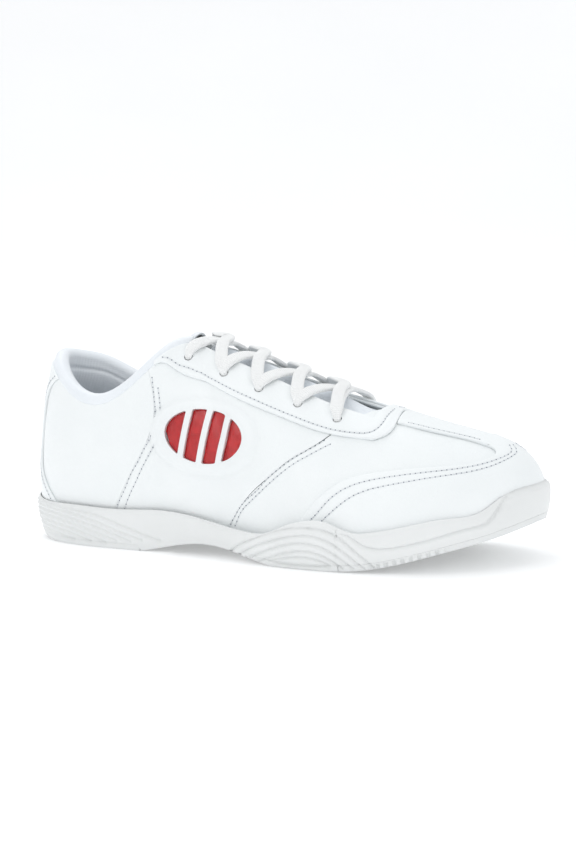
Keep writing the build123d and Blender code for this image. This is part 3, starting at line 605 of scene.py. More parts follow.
MAT = {
    "leather": material("white_leather", (.9, .92, .93), .4,
                        leather_nodes((.865, .895, .90), (.905, .93, .932)),
                        Coat_Weight=0.12, Coat_Roughness=0.35),
    "overlay": material("overlay_leather", (.9, .92, .93), .4,
                        leather_nodes((.87, .90, .905), (.91, .935, .938), .9),
                        Coat_Weight=0.12, Coat_Roughness=0.35),
    "satin": material("satin_lining", (.8, .86, .93), .42, satin_nodes((.82, .86, .90), (.88, .91, .94)),
                      Sheen_Weight=0.35, Sheen_Roughness=0.4),
    "padding": material("foam_padding", (.85, .84, .75), .9,
                        fibre_nodes((.74, .73, .66), (.86, .85, .78), 500)),
    "tongue": material("tongue_cloth", (.85, .89, .93), .5,
                       satin_nodes((.76, .81, .86), (.86, .90, .94), 2200.0),
                       Sheen_Weight=0.3),
    "lace": material("woven_lace", (.9, .91, .905), .6, lace_nodes, Sheen_Weight=0.15, Sheen_Roughness=0.4),
    "sole": material("sole_foam", (.82, .84, .835), .5, rubber_nodes((.78, .793, .788), (.82, .832, .828))),
    "rubber": material("outsole_rubber", (.8, .82, .815), .5,
                       rubber_nodes((.76, .775, .77), (.81, .822, .818), .0002)),
    "toe": material("toe_rubber", (.82, .84, .835), .48,
                    rubber_nodes((.785, .798, .793), (.825, .836, .832))),
    "thread": material("thread", (.84, .86, .88), .6, fibre_nodes((.72, .75, .78), (.88, .90, .91), 3000)),
    # Dark grey at the needle holes: painted shade in the holes, not a colour of the leather or thread.
    "stitch_pit_shade": material("painted_stitch_pit_shade", (.2, .22, .26), .8, fibre_nodes((.22, .25, .30), (.34, .37, .42), 2000)),
    "insole": material("insole_cloth", (.78, .82, .87), .7,
                       satin_nodes((.68, .73, .79), (.80, .84, .89), 1700.0)),
    "board": material("fibre_board", (.62, .55, .42), .9, fibre_nodes((.50, .44, .33), (.70, .63, .50), 350)),
    "stiff": material("stiffener", (.68, .68, .66), .8, fibre_nodes((.58, .58, .56), (.74, .74, .72), 420)),
    "steel": material("spring_steel", (.5, .51, .53), .32, fibre_nodes((.42, .43, .45), (.60, .61, .63), 90),
                      Metallic=1.0),
    "card": material("red_card", (.7, .03, .04), .35, card_nodes),
    "film": material("clear_film", (.95, .5, .5), .06, film_nodes,
                     Transmission_Weight=0.95, IOR=1.45, Alpha=0.35),
}


def bends(obj, mat, slot, *nodes):
    obj.data.materials.append(MAT[mat])
    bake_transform(obj)
    if nodes:
        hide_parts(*nodes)
    return obj


def rides(obj, mat, slot, body, *nodes):
    obj.data.materials.append(MAT[mat])
    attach(obj, body)
    if nodes:
        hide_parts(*nodes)
    return obj


# ---------------------------------------------------------------- stitch lines, as (k, v)
def kv_line(points, depth, count=240):
    """Points in mm along a smooth curve through (k, v) points."""
    points = np.array(points, float)
    steps = np.hypot(np.diff(points[:, 0]) * MM_PER_K, np.diff(points[:, 1]) * MM_PER_V)
    run = np.concatenate([[0], np.cumsum(steps)])
    curve = cubic(run, points)
    kv = curve(np.linspace(0, run[-1], count))
    return at_depth(kv[:, 0], kv[:, 1], np.full(count, depth)), normal(kv[:, 0], kv[:, 1])


HEEL_ROWS = [
    [(3.08, .04), (3.16, .15), (3.32, .25), (3.47, .33), (3.62, .40), (3.81, .46), (4.0, .52), (4.21, .57),
     (4.42, .64), (4.51, .71), (4.54, .79), (4.54, .89)],
    [(3.24, .05), (3.36, .17), (3.55, .28), (3.73, .36), (3.98, .45), (4.28, .53), (4.50, .61), (4.62, .68),
     (4.67, .74), (4.68, .80)],
]
FRONT_ROWS = [
    [(5.53, .03), (5.67, .08), (5.98, .16), (6.40, .23), (6.68, .29), (6.97, .35), (7.26, .41), (7.51, .46),
     (7.77, .51), (7.99, .56)],
    [(5.70, .05), (5.86, .11), (6.18, .175), (6.59, .25), (6.86, .305), (7.15, .365), (7.43, .42),
     (7.68, .466), (7.90, .51), (8.10, .55)],
]
WING_ROWS = [
    [(7.27, .07), (7.40, .12), (7.58, .165), (7.92, .255), (8.36, .345), (8.78, .40), (9.25, .445),
     (9.9, .50), (10.35, .535), (10.68, .565), (10.98, .60), (11.3, .645), (11.55, .70), (11.66, .78)],
    [(7.46, .07), (7.62, .12), (7.80, .165), (8.10, .235), (8.50, .315), (8.86, .362), (9.3, .405),
     (9.9, .46), (10.35, .495), (10.75, .53), (11.10, .575), (11.45, .63), (11.74, .70), (11.84, .78)],
]
EYESTAY_ROW = [(4.86, .955), (5.0, .925), (5.3, .83), (5.6, .765), (5.85, .715), (6.1, .68), (6.4, .652),
               (6.8, .638), (7.2, .632), (7.6, .628), (8.0, .625), (8.3, .632), (8.6, .65), (8.8, .675),
               (8.93, .72), (9.0, .77), (9.05, .84), (9.09, .90), (9.12, .96)]
STRIP_ROW = [(9.42, .845), (9.8, .858), (10.2, .864), (10.55, .86), (10.85, .84)]
BACK_ROW = [(1.62, .06), (1.38, .14), (.9, .27), (.58, .36), (.38, .5), (.45, .65), (.66, .78),
            (.98, .88), (1.22, .95)]


def swap(points):
    return [(ROUND - k, v) for k, v in points]


def both(rows):
    return rows + [swap(r) for r in rows]


LEATHER_LINES = both(HEEL_ROWS + FRONT_ROWS)
OVERLAY_LINES = both(WING_ROWS + [EYESTAY_ROW, STRIP_ROW, BACK_ROW])
GROOVES = {
    "leather": [kv_line(r, LEATHER_FACE, 160)[0] for r in LEATHER_LINES],
    "overlay": [kv_line(r, OVERLAY_FACE, 160)[0] for r in OVERLAY_LINES],
}


def stitches(name, rows, depth, pitch=2.3, width=0.5):
    """Thread lying on the surface between needle holes, with dark dots of painted shade in the holes."""
    thread_v, thread_f, shade_dot_v, shade_dot_f = [], [], [], []
    ring = np.linspace(0, 2 * np.pi, 7)[:-1]
    for row in rows:
        line, up = kv_line(row, depth, 400)
        run = run_along(line)
        count = int(run[-1] // pitch)
        ends = np.linspace(0, run[-1], count + 1)
        place = np.stack([np.interp(ends, run, line[:, i]) for i in range(3)], 1)
        face = np.stack([np.interp(ends, run, up[:, i]) for i in range(3)], 1)
        face /= np.linalg.norm(face, axis=1, keepdims=True)
        for a, b, n in zip(place[:-1], place[1:], face[:-1]):
            along = (b - a) / np.linalg.norm(b - a)
            side = np.cross(n, along)
            side /= np.linalg.norm(side)
            base = len(thread_v)
            half = np.linalg.norm(b - a) * 0.36
            middle = (a + b) / 2 + side * rng.normal(0, 0.03)
            for f, size in ((-1, .25), (-.6, .85), (0, 1), (.6, .85), (1, .25)):
                for w in ring:
                    up_by = np.sin(w) * 0.20 * size + 0.03
                    aside = side * np.cos(w) * width / 2 * size
                    thread_v.append(middle + along * f * half + aside + n * up_by)
            for i in range(4):
                for j in range(6):
                    c, d = base + i * 6 + j, base + i * 6 + (j + 1) % 6
                    thread_f.append([c, d, d + 6, c + 6])
            thread_f += [[base + j for j in range(5, -1, -1)], [base + 24 + j for j in range(6)]]
        # A small dark double cone at each needle hole: painted shade in the hole.
        for a, n in zip(place, face):
            side = np.cross(n, [0, 0, 1.0]) + 1e-6
            side /= np.linalg.norm(side)
            other = np.cross(n, side)
            base = len(shade_dot_v)
            shade_dot_v.append(a + n * 0.12)
            shade_dot_v += [a + (side * np.cos(w) + other * np.sin(w)) * 0.34 + n * -0.02 for w in ring]
            shade_dot_v.append(a - n * 0.3)
            shade_dot_f += [[base, base + 1 + j, base + 1 + (j + 1) % 6] for j in range(6)]
            shade_dot_f += [[base + 7, base + 1 + (j + 1) % 6, base + 1 + j] for j in range(6)]
    bends(mesh_object(name + "_thread", thread_v, thread_f), "thread", "leather")
    bends(mesh_object(name + "_painted_pit_shade", shade_dot_v, shade_dot_f), "stitch_pit_shade", "leather")


stitches("stitch_leather", LEATHER_LINES, LEATHER_FACE)
stitches("stitch_overlay", OVERLAY_LINES, OVERLAY_FACE)


# ---------------------------------------------------------------- leather panels
EYELETS = [(5.57, 0.84), (6.31, 0.73), (6.87, 0.71), (7.54, 0.71), (8.25, 0.70)]
EYELET_PLACES = np.array([skin(k, v) for k, v in EYELETS] + [skin(ROUND - k, v) for k, v in EYELETS])
EYELET_RADIUS = 2.1
WINDOW_CENTRE = (5.50, 0.455)           # oval colour window in the outer quarter
WINDOW_SLOPE = -0.12
HALF_LENGTH, HALF_HEIGHT = 21, 12.5     # of the oval
BAR_PLACES, HALF_BAR = (-10.5, 0, 10.5), 1.5
window_at = skin(*WINDOW_CENTRE)
window_z = normal(*WINDOW_CENTRE)
window_x = np.array([1.0, 0, WINDOW_SLOPE])
window_x -= window_z * (window_x @ window_z)
window_x /= np.linalg.norm(window_x)
window_y = np.cross(window_z, window_x)


def clear_of_eyelets(points, radius=EYELET_RADIUS):
    d = np.linalg.norm(points[..., None, :] - EYELET_PLACES, axis=-1)
    return d.min(-1) - radius


def window_coordinates(points):
    rel = points - window_at
    a, b, c = rel @ window_x, rel @ window_y, rel @ window_z
    return a, b, np.abs(c) < 12


def window_inside(points):
    """Positive in the oval openings between the bars, in mm."""
    a, b, close = window_coordinates(points)
    oval = (1 - np.sqrt((a / HALF_LENGTH) ** 2 + (b / HALF_HEIGHT) ** 2)) * HALF_HEIGHT
    bars = np.min([np.abs(a - x) - HALF_BAR for x in BAR_PLACES], 0)
    return np.where(close, np.minimum(oval, bars), -5)


def window_emboss(points, k, v):
    """The pad raised round the window, the lips of its openings and the line round the pad."""
    a, b, close = window_coordinates(points)
    oval = (np.sqrt((a / HALF_LENGTH) ** 2 + (b / HALF_HEIGHT) ** 2) - 1) * 15
    pad = 0.75 * smoothstep((6.2 - oval) / 2.2) * close
    edge = window_inside(points)
    lip = -0.45 * smoothstep((edge + 1.3) / 1.2)
    ring = -0.35 * np.exp(-((oval - 6.8) / 0.9) ** 2)
    return pad + (lip + ring) * close


def keep_quarter(points):
    return np.minimum(clear_of_eyelets(points), -window_inside(points))


def heel_quarter(s, t):
    right = heel_seam(t * TOP_TRIM) - SEAM
    return SEAM * (1 - s) + right * s, t * TOP_TRIM


def quarter(s, t):
    top_right = 0.79
    left = heel_seam(t * TOP_TRIM) + SEAM
    right = quarter_front(t * top_right) - SEAM
    k = left * (1 - s) + right * s
    k_top = (heel_seam(TOP_TRIM) + SEAM) * (1 - s) + (quarter_front(top_right) - SEAM) * s
    return k, t * throat_edge(k_top)


def vamp(s, t):
    left = quarter_front(t) + SEAM
    return left * (1 - s) + TOE * s, t


def creases(points, k, v):
    """Shallow folds where the foot bends, in front of the throat."""
    x, z = points[..., 0], points[..., 2]
    where = np.exp(-((x - 58) / 16) ** 2) * smoothstep((z - 22) / 25)
    return 0.16 * where * np.sin((x + 0.25 * z) / 3.1)


def leather_panel(name, patch, sides, node_name, **more):
    obj = panel(name, [(patch, sides)], 0, -LEATHER, roll=.35, lines=GROOVES["leather"], seed=3, **more)
    bends(obj, "leather", "leather", node_name)


leather_panel("heel_quarter_outer", heel_quarter, "lrBT", "heel_quarter_lateral")
leather_panel("heel_quarter_inner", mirrored(heel_quarter), "lrBT", "heel_quarter_medial")
leather_panel("quarter_outer", quarter, "lrBT", "quarter_lateral", step=.8, shape=window_emboss,
              keep=keep_quarter)
leather_panel("quarter_inner", mirrored(quarter), "lrBT", "quarter_medial", step=1.0, keep=clear_of_eyelets)
leather_panel("vamp_outer", vamp, "lB", "vamp_lateral", shape=creases)
leather_panel("vamp_inner", mirrored(vamp), "lB", "vamp_medial", shape=creases)

# Where the overlays start and end, in k.
EYESTAY_REAR, EYESTAY_FRONT, THROAT_BASE, EYESTAY_NOSE = 4.6, 8.85, 9.0, 9.27
WING_REAR, STRIP_REAR = 7.1, 9.235


def eyestay_arm(s, t):
    k = EYESTAY_REAR + (EYESTAY_FRONT - EYESTAY_REAR) * s
    return k, eyestay_low(k) * (1 - t) + throat_edge(k) * t


nose_line = cubic([0, 0.45, 1], [EYESTAY_FRONT, 9.16, EYESTAY_NOSE])
nose_low_v = cubic([0, 0.45, 1], [float(eyestay_low(EYESTAY_FRONT)), 0.74, 1.0])


def eyestay_bridge(s, t):
    high = float(throat_edge(EYESTAY_FRONT))
    k_high = EYESTAY_FRONT + (THROAT_BASE - EYESTAY_FRONT) * s
    return nose_line(s) * (1 - t) + k_high * t, nose_low_v(s) * (1 - t) + (high + (1 - high) * s) * t


NOSE = 11.0
NOSE_LOW, NOSE_HIGH = float(wing_top(NOSE)), float(strip_low(NOSE))


def wing(s, t):
    k = WING_REAR + (NOSE - WING_REAR) * s
    return k, OVERLAY_LOW * (1 - t) + t * wing_top(k)


def strip(s, t):
    back = STRIP_REAR + .06 * t
    k = back + (NOSE - back) * s
    return k, strip_low(k) * (1 - t) + t


def nose_bottom(s, t):
    return NOSE + (TOE - NOSE) * s, OVERLAY_LOW * (1 - t) + NOSE_LOW * t


def nose_middle(s, t):
    bow = 0.12 * 4 * t * (1 - t)
    return NOSE + bow + (TOE - NOSE - bow) * s, NOSE_LOW * (1 - t) + NOSE_HIGH * t


def nose_top(s, t):
    return NOSE + (TOE - NOSE) * s, NOSE_HIGH * (1 - t) + t


def backstay(s, t):
    v = OVERLAY_LOW * (1 - t) + .97 * t
    return backstay_half(v) * (2 * s - 1), v


def twins(patches):
    return patches + [(mirrored(p), sides) for p, sides in patches]


def overlay_panel(name, patches, node_name, **more):
    obj = panel(name, patches, OVERLAY + 2 * FIT, 0.05, roll=.6, lines=GROOVES["overlay"], **more)
    bends(obj, "overlay", "overlay", node_name)


arms = [(eyestay_arm, "LBT"), (eyestay_bridge, "BT")]
toes = [(wing, "LBT"), (strip, "LB"), (nose_bottom, "B"), (nose_middle, "L"), (nose_top, "")]
overlay_panel("eyestay_overlay", twins(arms), "eyestay", step=.9, keep=clear_of_eyelets, seed=9)
overlay_panel("toe_overlay_leather", twins(toes), "toe_overlay", seed=10)
overlay_panel("backstay_leather", [(backstay, "LRBT")], "backstay", seed=11)


# ---------------------------------------------------------------- linings and toe stiffener
def quarter_lining(s, t):
    v = t * lining_top(float(lining_joint(0.78)) * s)
    return SEAM * (1 - s) + (lining_joint(v) - SEAM) * s, v


def front_lining(s, t):
    return (lining_joint(t) + SEAM) * (1 - s) + TOE * s, t


for side, turn in (("outer", lambda p: p), ("inner", mirrored)):
    node_name = "quarter_lining_lateral" if side == "outer" else "quarter_lining_medial"
    bends(panel("lining_" + side, [(turn(quarter_lining), "LRBT")], LINING_OUT, LINING_IN, step=1.8, roll=.2,
                wander=.05, keep=clear_of_eyelets, seed=12), "satin", "lining", node_name)
bends(panel("lining_front", [(front_lining, "LB"), (mirrored(front_lining), "LB")], LINING_OUT, LINING_IN,
            step=2, roll=.2, wander=.05, seed=13), "satin", "lining", "vamp_lining")
puff = between(flat(10.2), flat(TOE), flat(0.02), flat(1))
bends(panel("toe_puff_shell", [(puff, "LB"), (mirrored(puff), "LB")],
            -LEATHER - FIT - .1, -LEATHER - FIT - STIFFENER, step=2, roll=.2, wander=.02, seed=14),
      "stiff", "stiffener", "toe_puff")


# ---------------------------------------------------------------- sole
def stations_line(values):
    return cubic(np.arange(ROUND + 1), values + values[-2::-1], closed=True)


sole_margin = stations_line([4, 4, 4, 4, 4, 4.5, 6, 6, 5, 4.5, 4.5, 4.5, 4.5])
cup_reach = stations_line([3.1, 3.1, 3.1, 3.1, 3.1, 3.1, 3.1, 2.9, 2.6, 2.4, 2.4, 2.4, 2.4])
ground_line = cubic([-134, -124, -110, -85, -62, -40, -20, 0, 18, 35, 60, 80, 100, 118, 134],
                    [10, 3.2, 0.3, -0.3, -0.2, 4, 5.5, 3, -0.3, -0.3, 1.3, 5.5, 11, 16.5, 24])
top_line = cubic([-134, -120, -100, -70, -45, -20, 0, 12, 24, 34, 43, 56, 66, 80, 100, 112, 118, 128],
                 [21, 19.5, 19.6, 19.3, 20, 17, 14.6, 15, 19.6, 22.2, 22.4, 18.3, 18.8,
                  21.5, 25.2, 28, 33, 36.5])
rand_line = cubic([50, 56, 62, 70, 79, 95, 108, 114, 118, 122, 128],
                  [18, 16.6, 13.2, 11.8, 13, 17.3, 21, 25, 32.8, 35.2, 36.5])

RIBS = [
    [(-134, 19.4), (-112, 18.4), (-96, 17.4), (-84, 16.0), (-69, 11.8), (-58, 8.4), (-49, 5.6)],
    [(-134, 17.4), (-112, 16.9), (-98, 15.6), (-84, 12.9), (-72, 9.2), (-59, 5.4)],
    [(-134, 15.4), (-112, 14.8), (-98, 13.2), (-84, 10.1), (-72, 6.5), (-65, 4.2)],
    [(-134, 13.4), (-112, 12.5), (-98, 10.7), (-84, 7.4), (-73, 4.0)],
    [(-134, 11.4), (-112, 10.1), (-98, 8.1), (-86, 5.0), (-79, 3.0)],
    [(-134, 9.3), (-112, 7.7), (-98, 5.4), (-88, 2.8)],
    [(-134, 7.0), (-112, 5.2), (-98, 2.8)],
]
ARCHES = [
    [(-10, 3.6), (-2, 8.6), (8, 12.6), (20, 16.9), (32, 19.2), (42, 19.0), (50, 16.6),
     (57, 11.6), (63, 6.4), (67, 2.4)],
    [(-5, 2.6), (4, 7.4), (14, 11.4), (24, 14.4), (34, 16.0), (43, 15.0), (51, 11.4), (57, 6.8), (62, 2.6)],
    [(1, 1.8), (10, 6.0), (20, 9.8), (30, 12.3), (38, 12.2), (46, 9.8), (53, 5.4), (57, 2.2)],
    [(7, 1.4), (16, 4.7), (25, 7.6), (33, 8.8), (41, 7.9), (48, 4.8), (52, 2.2)],
    [(15, 2.9), (24, 5.1), (33, 6.0), (41, 4.9), (46, 2.9), (40, 2.2), (30, 2.0), (20, 2.3), (15, 2.9)],
]


def dense(points, count=90):
    points = np.array(points, float)
    run = np.concatenate([[0], np.cumsum(np.hypot(*np.diff(points, axis=0).T))])
    return cubic(run, points)(np.linspace(0, run[-1], count))


RIB_LINES = [dense(r) for r in RIBS]
ARCH_LINES = [dense(r) for r in ARCHES]
toe_groove_x = np.linspace(54, 127, 160)
TOE_LINES = [np.stack([toe_groove_x, rand_line(toe_groove_x) - 0.1], 1)]


def groove_depth(xz, lines, width, depth):
    return -depth * np.exp(-(near_lines(xz, lines) / width) ** 2)


def sculpt(points):
    """Relief of the sole's side in mm, from its place along and up the side."""
    shape = points.shape[:-1]
    xz = points.reshape(-1, 3)[:, [0, 2]]
    x, z = xz[:, 0], xz[:, 1]
    out = groove_depth(xz, RIB_LINES, 0.75, 0.9)
    out += groove_depth(xz, ARCH_LINES, 0.62, 1.15)
    out += groove_depth(xz, TOE_LINES, 0.75, 1.0)
    lens = ((x - 30) / 36) ** 2 + ((z - 1) / 19) ** 2
    out += 0.7 * smoothstep((1.1 - lens) / 0.5)
    waist = np.exp(-((x + 28) / 22) ** 2) * smoothstep((z - 3) / 6)
    out -= 1.1 * waist
    teeth = smoothstep((np.cos(x * 2 * np.pi / 3.6) - 0.1) / 0.4)
    low = smoothstep((2.6 - (z - ground_line(x))) / 0.8)
    low = low * smoothstep((x - 62) / 4) * smoothstep((100 - x) / 6)
    out -= 0.9 * teeth * low
    return out.reshape(shape)


SHOULDER = 2.2         # rounding of the sole's top edge
TOE_LEAN = 1.3         # how far the bumper leans back at its top
CUP_GAP = 0.15         # the cup's wall stands this far inside its CAD line


def foot_plan(k, reach):
    """Place in the shoe's plan, reach mm outside the upper's bottom edge."""
    return bottom_edge(k) + outward(k) * np.asarray(reach)[..., None]


def lift_plan(plan, z):
    return np.concatenate([plan, z[..., None]], -1)


def level(plan):
    """Plan vectors as vectors in space with no rise."""
    return np.concatenate([plan, np.zeros(plan.shape[:-1] + (1,))], -1)


def side_wall(k, t, reach_in=0.0):
    """Point on the sole's outside at k; t runs from the ground line to the top line."""
    out = outward(k)
    low_plan = bottom_edge(k) + out * (sole_margin(k) - DRAFT)[..., None]
    high_plan = bottom_edge(k) + out * sole_margin(k)[..., None]
    low = np.concatenate([low_plan, np.maximum(ground_line(low_plan[..., 0]), 0)[..., None]], -1)
    high = np.concatenate([high_plan, top_line(high_plan[..., 0])[..., None]], -1)
    t = t[..., None]
    point = low * (1 - t) + high * t
    reach_in = reach_in + TOE_LEAN * smoothstep((point[..., :1] - 96) / 24) * (.35 + .65 * t)
    belly = 1.1 * 4 * t * (1 - t)
    tall = np.maximum(high[..., 2:] - low[..., 2:], 1)
    from_top = np.clip((1 - t) * tall / SHOULDER, 0, 1)
    belly = belly - SHOULDER * .8 * (1 - np.sqrt(1 - (1 - from_top) ** 2))
    return point + level(out) * (belly - reach_in)


def wall_t(k, height):
    """t on the side wall where it is that high above the ground line."""
    low = foot_plan(k, sole_margin(k) - DRAFT)
    high = foot_plan(k, sole_margin(k))
    z_low = np.maximum(ground_line(low[..., 0]), 0)
    z_high = top_line(high[..., 0])
    return np.clip(height(high[..., 0], z_low) / (z_high - z_low), 0, 1)


def relief(points, k, fade):
    push = sculpt(points) * fade
    return points + level(outward(k) * push[..., None])


# Where the heel pad ends, the ball pad starts and the ball and toe pads meet, in k.
HEEL_END, BALL_START, FLEX_K = 3.6, 6.1, 8.08
PAD_COLUMNS = 41


def under_pad(k):
    """1 where rubber covers the foam's underside."""
    h = from_heel(k)
    return smoothstep((HEEL_END + .05 - h) / .1) + smoothstep((h - BALL_START + .05) / .1)


def weld(obj, distance=2e-5):
    bm = bmesh.new()
    bm.from_mesh(obj.data)
    bmesh.ops.remove_doubles(bm, verts=bm.verts, dist=distance)
    bmesh.ops.dissolve_degenerate(bm, edges=bm.edges, dist=1e-6)
    bmesh.ops.recalc_face_normals(bm, faces=bm.faces)
    bm.to_mesh(obj.data)
    bm.free()
    obj.data.polygons.foreach_set("use_smooth", np.ones(len(obj.data.polygons), bool))
    return obj


def midsole():
    turns = 1301
    k = np.linspace(0, ROUND, turns)
    h = from_heel(k)
    rand_on = smoothstep((h - FLEX_K) / .006)
    pad_on = np.clip(under_pad(k), 0, 1)
    t_pad = wall_t(k, lambda x, z: (OUTSOLE + .02) * pad_on + 0 * x)
    t_rand = wall_t(k, lambda x, z: rand_line(x) + .04 - z)
    t_low = t_pad * (1 - rand_on) + t_rand * rand_on
    rows = np.concatenate([[0, .02, .05], np.linspace(.08, .86, 52), [.89, .92, .945, .965, .98, .992, 1]])
    t = t_low[:, None] + (1 - t_low[:, None]) * rows[None]
    kk = np.repeat(k[:, None], len(rows), 1)
    wall = side_wall(kk, t)
    fade = smoothstep((1 - rows) / .06)[None]
    wall = relief(wall, kk, fade)
    up = wall[:, -1, 2]
    lean = TOE_LEAN * smoothstep((wall[:, -1, 0] - 96) / 24)
    rim = []
    for f in (.5, 1.0):
        reach = (sole_margin(k) - SHOULDER * .8 - lean) * (1 - f) + (cup_reach(k) - CUP_GAP - lean * .4) * f
        plan = foot_plan(k, reach)
        rim.append(lift_plan(plan, up + .05 - .3 * f))
    floor = foot_plan(k, cup_reach(k) - CUP_GAP)
    rim.append(lift_plan(floor, (up + foot_height(floor[:, 0])) / 2))
    rim.append(lift_plan(floor, foot_height(floor[:, 0]) - .12))
    low_plan = foot_plan(k, sole_margin(k) - (OUTSOLE_WALL + .1) - DRAFT * .5)
    ledge = lift_plan(low_plan, wall[:, 0, 2])
    bottom_z = np.maximum(ground_line(wall[:, 0, 0]), 0) + (OUTSOLE + .1) * pad_on
    step_in = lift_plan(low_plan, np.where(rand_on > .5, bottom_z, wall[:, 0, 2]))
    columns = [step_in, ledge, *[wall[:, i] for i in range(wall.shape[1])], *rim]
    grid = np.stack(columns, 1)
    verts = grid.reshape(-1, 3)
    faces = grid_faces(*grid.shape[:2])
    base = len(verts)
    half = turns // 2
    for column, flip in ((0, False), (grid.shape[1] - 1, True)):
        line = grid[:, column]
        a, b = line[:half + 1], line[:half - 1:-1][:half + 1]
        u = np.linspace(0, 1, 13)[None, :, None]
        sheet = a[:, None] * (1 - u) + b[:, None] * u
        verts = np.concatenate([verts, sheet.reshape(-1, 3)])
        faces += grid_faces(*sheet.shape[:2], base, flip)
        base = len(verts)
    return weld(mesh_object("sole_cup", verts, faces))


def pad(name, k0, k1, steps, closed_heel=False, closed_toe=False):
    """Rubber pad across the shoe between k0 and k1, with its side on the sole's wall."""
    k = np.linspace(k0, k1, steps)
    verts, faces = [], []
    base = 0
    rows = np.linspace(0, 1, 9)
    walls = []
    for side in (k, ROUND - k):
        t_pad = wall_t(side, lambda x, z: OUTSOLE + 0 * x)
        kk = np.repeat(side[:, None], len(rows), 1)
        wall = side_wall(kk, t_pad[:, None] * rows[None])
        wall = relief(wall, kk, np.ones((len(k), 1)) * smoothstep(rows / .25)[None])
        verts.append(wall.reshape(-1, 3))
        faces += grid_faces(len(k), len(rows), base)
        base += wall.shape[0] * wall.shape[1]
        walls.append(wall)
    outer, inner = walls
    for row in (0, -1):
        u = np.linspace(0, 1, PAD_COLUMNS)[None, :, None]
        sheet = outer[:, row][:, None] * (1 - u) + inner[:, row][:, None] * u
        if row == 0:
            wave = np.sin(sheet[..., 0] * 1.15 + 1.6 * np.sin(sheet[..., 1] * .32))
            edge = smoothstep(u[..., 0] / .08) * smoothstep((1 - u[..., 0]) / .08)
            ends = smoothstep((k - k0) / .12)[:, None] * smoothstep((k1 - k) / .12)[:, None]
            if closed_heel or closed_toe:
                ends = 1
            cut = .9 * smoothstep((wave - .35) / .25) * edge * ends
            sheet[..., 2] += cut
        verts.append(sheet.reshape(-1, 3))
        faces += grid_faces(*sheet.shape[:2], base)
        base += sheet.shape[0] * sheet.shape[1]
    for i, closed in ((0, closed_heel), (-1, closed_toe)):
        if closed:
            continue
        u = np.linspace(0, 1, PAD_COLUMNS)[:, None]
        low = outer[i, 0] * (1 - u) + inner[i, 0] * u
        high = outer[i, -1] * (1 - u) + inner[i, -1] * u
        sheet = np.stack([low, high], 1)
        verts.append(sheet.reshape(-1, 3))
        faces += grid_faces(PAD_COLUMNS, 2, base)
        base += 2 * PAD_COLUMNS
    return weld(mesh_object(name, np.concatenate(verts), faces))


def toe_band():
    k = np.linspace(FLEX_K - .02, ROUND - FLEX_K + .02, 640)
    t0 = wall_t(k, lambda x, z: OUTSOLE + .02 + 0 * x)
    t1 = np.maximum(wall_t(k, lambda x, z: rand_line(x) - z), t0 + .01)
    rows = np.concatenate([[0, .03, .08], np.linspace(.15, .85, 14), [.92, .97, 1]])
    kk = np.repeat(k[:, None], len(rows), 1)
    tt = t0[:, None] + (t1 - t0)[:, None] * rows[None]
    wall = relief(side_wall(kk, tt), kk, np.ones(kk.shape))
    wall = wall + level(outward(kk) * .03)
    back = side_wall(kk, tt, reach_in=OUTSOLE_WALL)
    return weld(mesh_object("toe_band", *shell([(wall, back, "LRBT")])), 1e-6)


bends(midsole(), "sole", "foam_sole", "midsole")
bends(pad("tread_heel", 0.0, HEEL_END, 260, closed_heel=True), "rubber", "rubber_sole", "outsole_heel")
bends(pad("tread_ball", BALL_START, FLEX_K - .004, 150), "rubber", "rubber_sole", "outsole_ball")
bends(pad("tread_toe", FLEX_K + .004, 12.0, 280, closed_toe=True), "rubber", "rubber_sole", "outsole_toe")
bends(toe_band(), "toe", "toe_rubber", "toe_rand")


def inner_slab(name, reach, low, high, rows=160, crown=None):
    k = np.linspace(0, TOE, rows)
    sheets = []
    u = np.linspace(0, 1, 33)[None, :, None]
    for z in (low, high):
        a, b = foot_plan(k, np.full(rows, reach)), foot_plan(ROUND - k, np.full(rows, reach))
        plan = a[:, None] * (1 - u) + b[:, None] * u
        height = z(plan[..., 0])
        if crown is not None and z is high:
            height = height + crown(plan, u[..., 0])
        sheets.append(np.concatenate([plan, height[..., None]], -1))
    return weld(mesh_object(name, *shell([(sheets[1], sheets[0], "BT")])))


def insole_shape(plan, u):
    """The rolled edge and the heel cup of the insole."""
    edge = (2 * np.abs(u - .5)) ** 6
    heel_cup = np.exp(-((plan[..., 0] + 92) / 22) ** 2) * (1 - edge)
    return -.5 * smoothstep((edge - .7) / .3) - heel_cup


bends(inner_slab("insole", LINING_IN - .5, lambda x: foot_height(x) + 1.35, lambda x: foot_height(x) + 5.3,
                 crown=insole_shape), "insole", "insole", "sockliner")
bends(inner_slab("board", LINING_IN - .15, lambda x: foot_height(x), lambda x: foot_height(x) + 1.2),
      "board", "board", "strobel_board")


# ---------------------------------------------------------------- collar
def collar_depth(v):
    return COLLAR_FOAM * (0.12 + 0.88 * smoothstep((v - 0.62) / 0.3))


FOAM_OUT = -(LEATHER + FIT)


def collar_foam():
    k = np.linspace(-COLLAR_FRONT + .06, COLLAR_FRONT - .06, 200)[:, None]
    t = np.linspace(0, 1, 16)[None]
    h = from_heel(k)
    v = (0.66 + 0.22 * smoothstep((h - 4.2) / 1.3)) * (1 - t) + .975 * t
    outer = at_depth(k + 0 * v, v, np.full(v.shape, FOAM_OUT))
    inner = at_depth(k + 0 * v, v, FOAM_OUT - collar_depth(v) + .12)
    return mesh_object("collar_padding", *shell([(outer, inner, "LRBT")]))


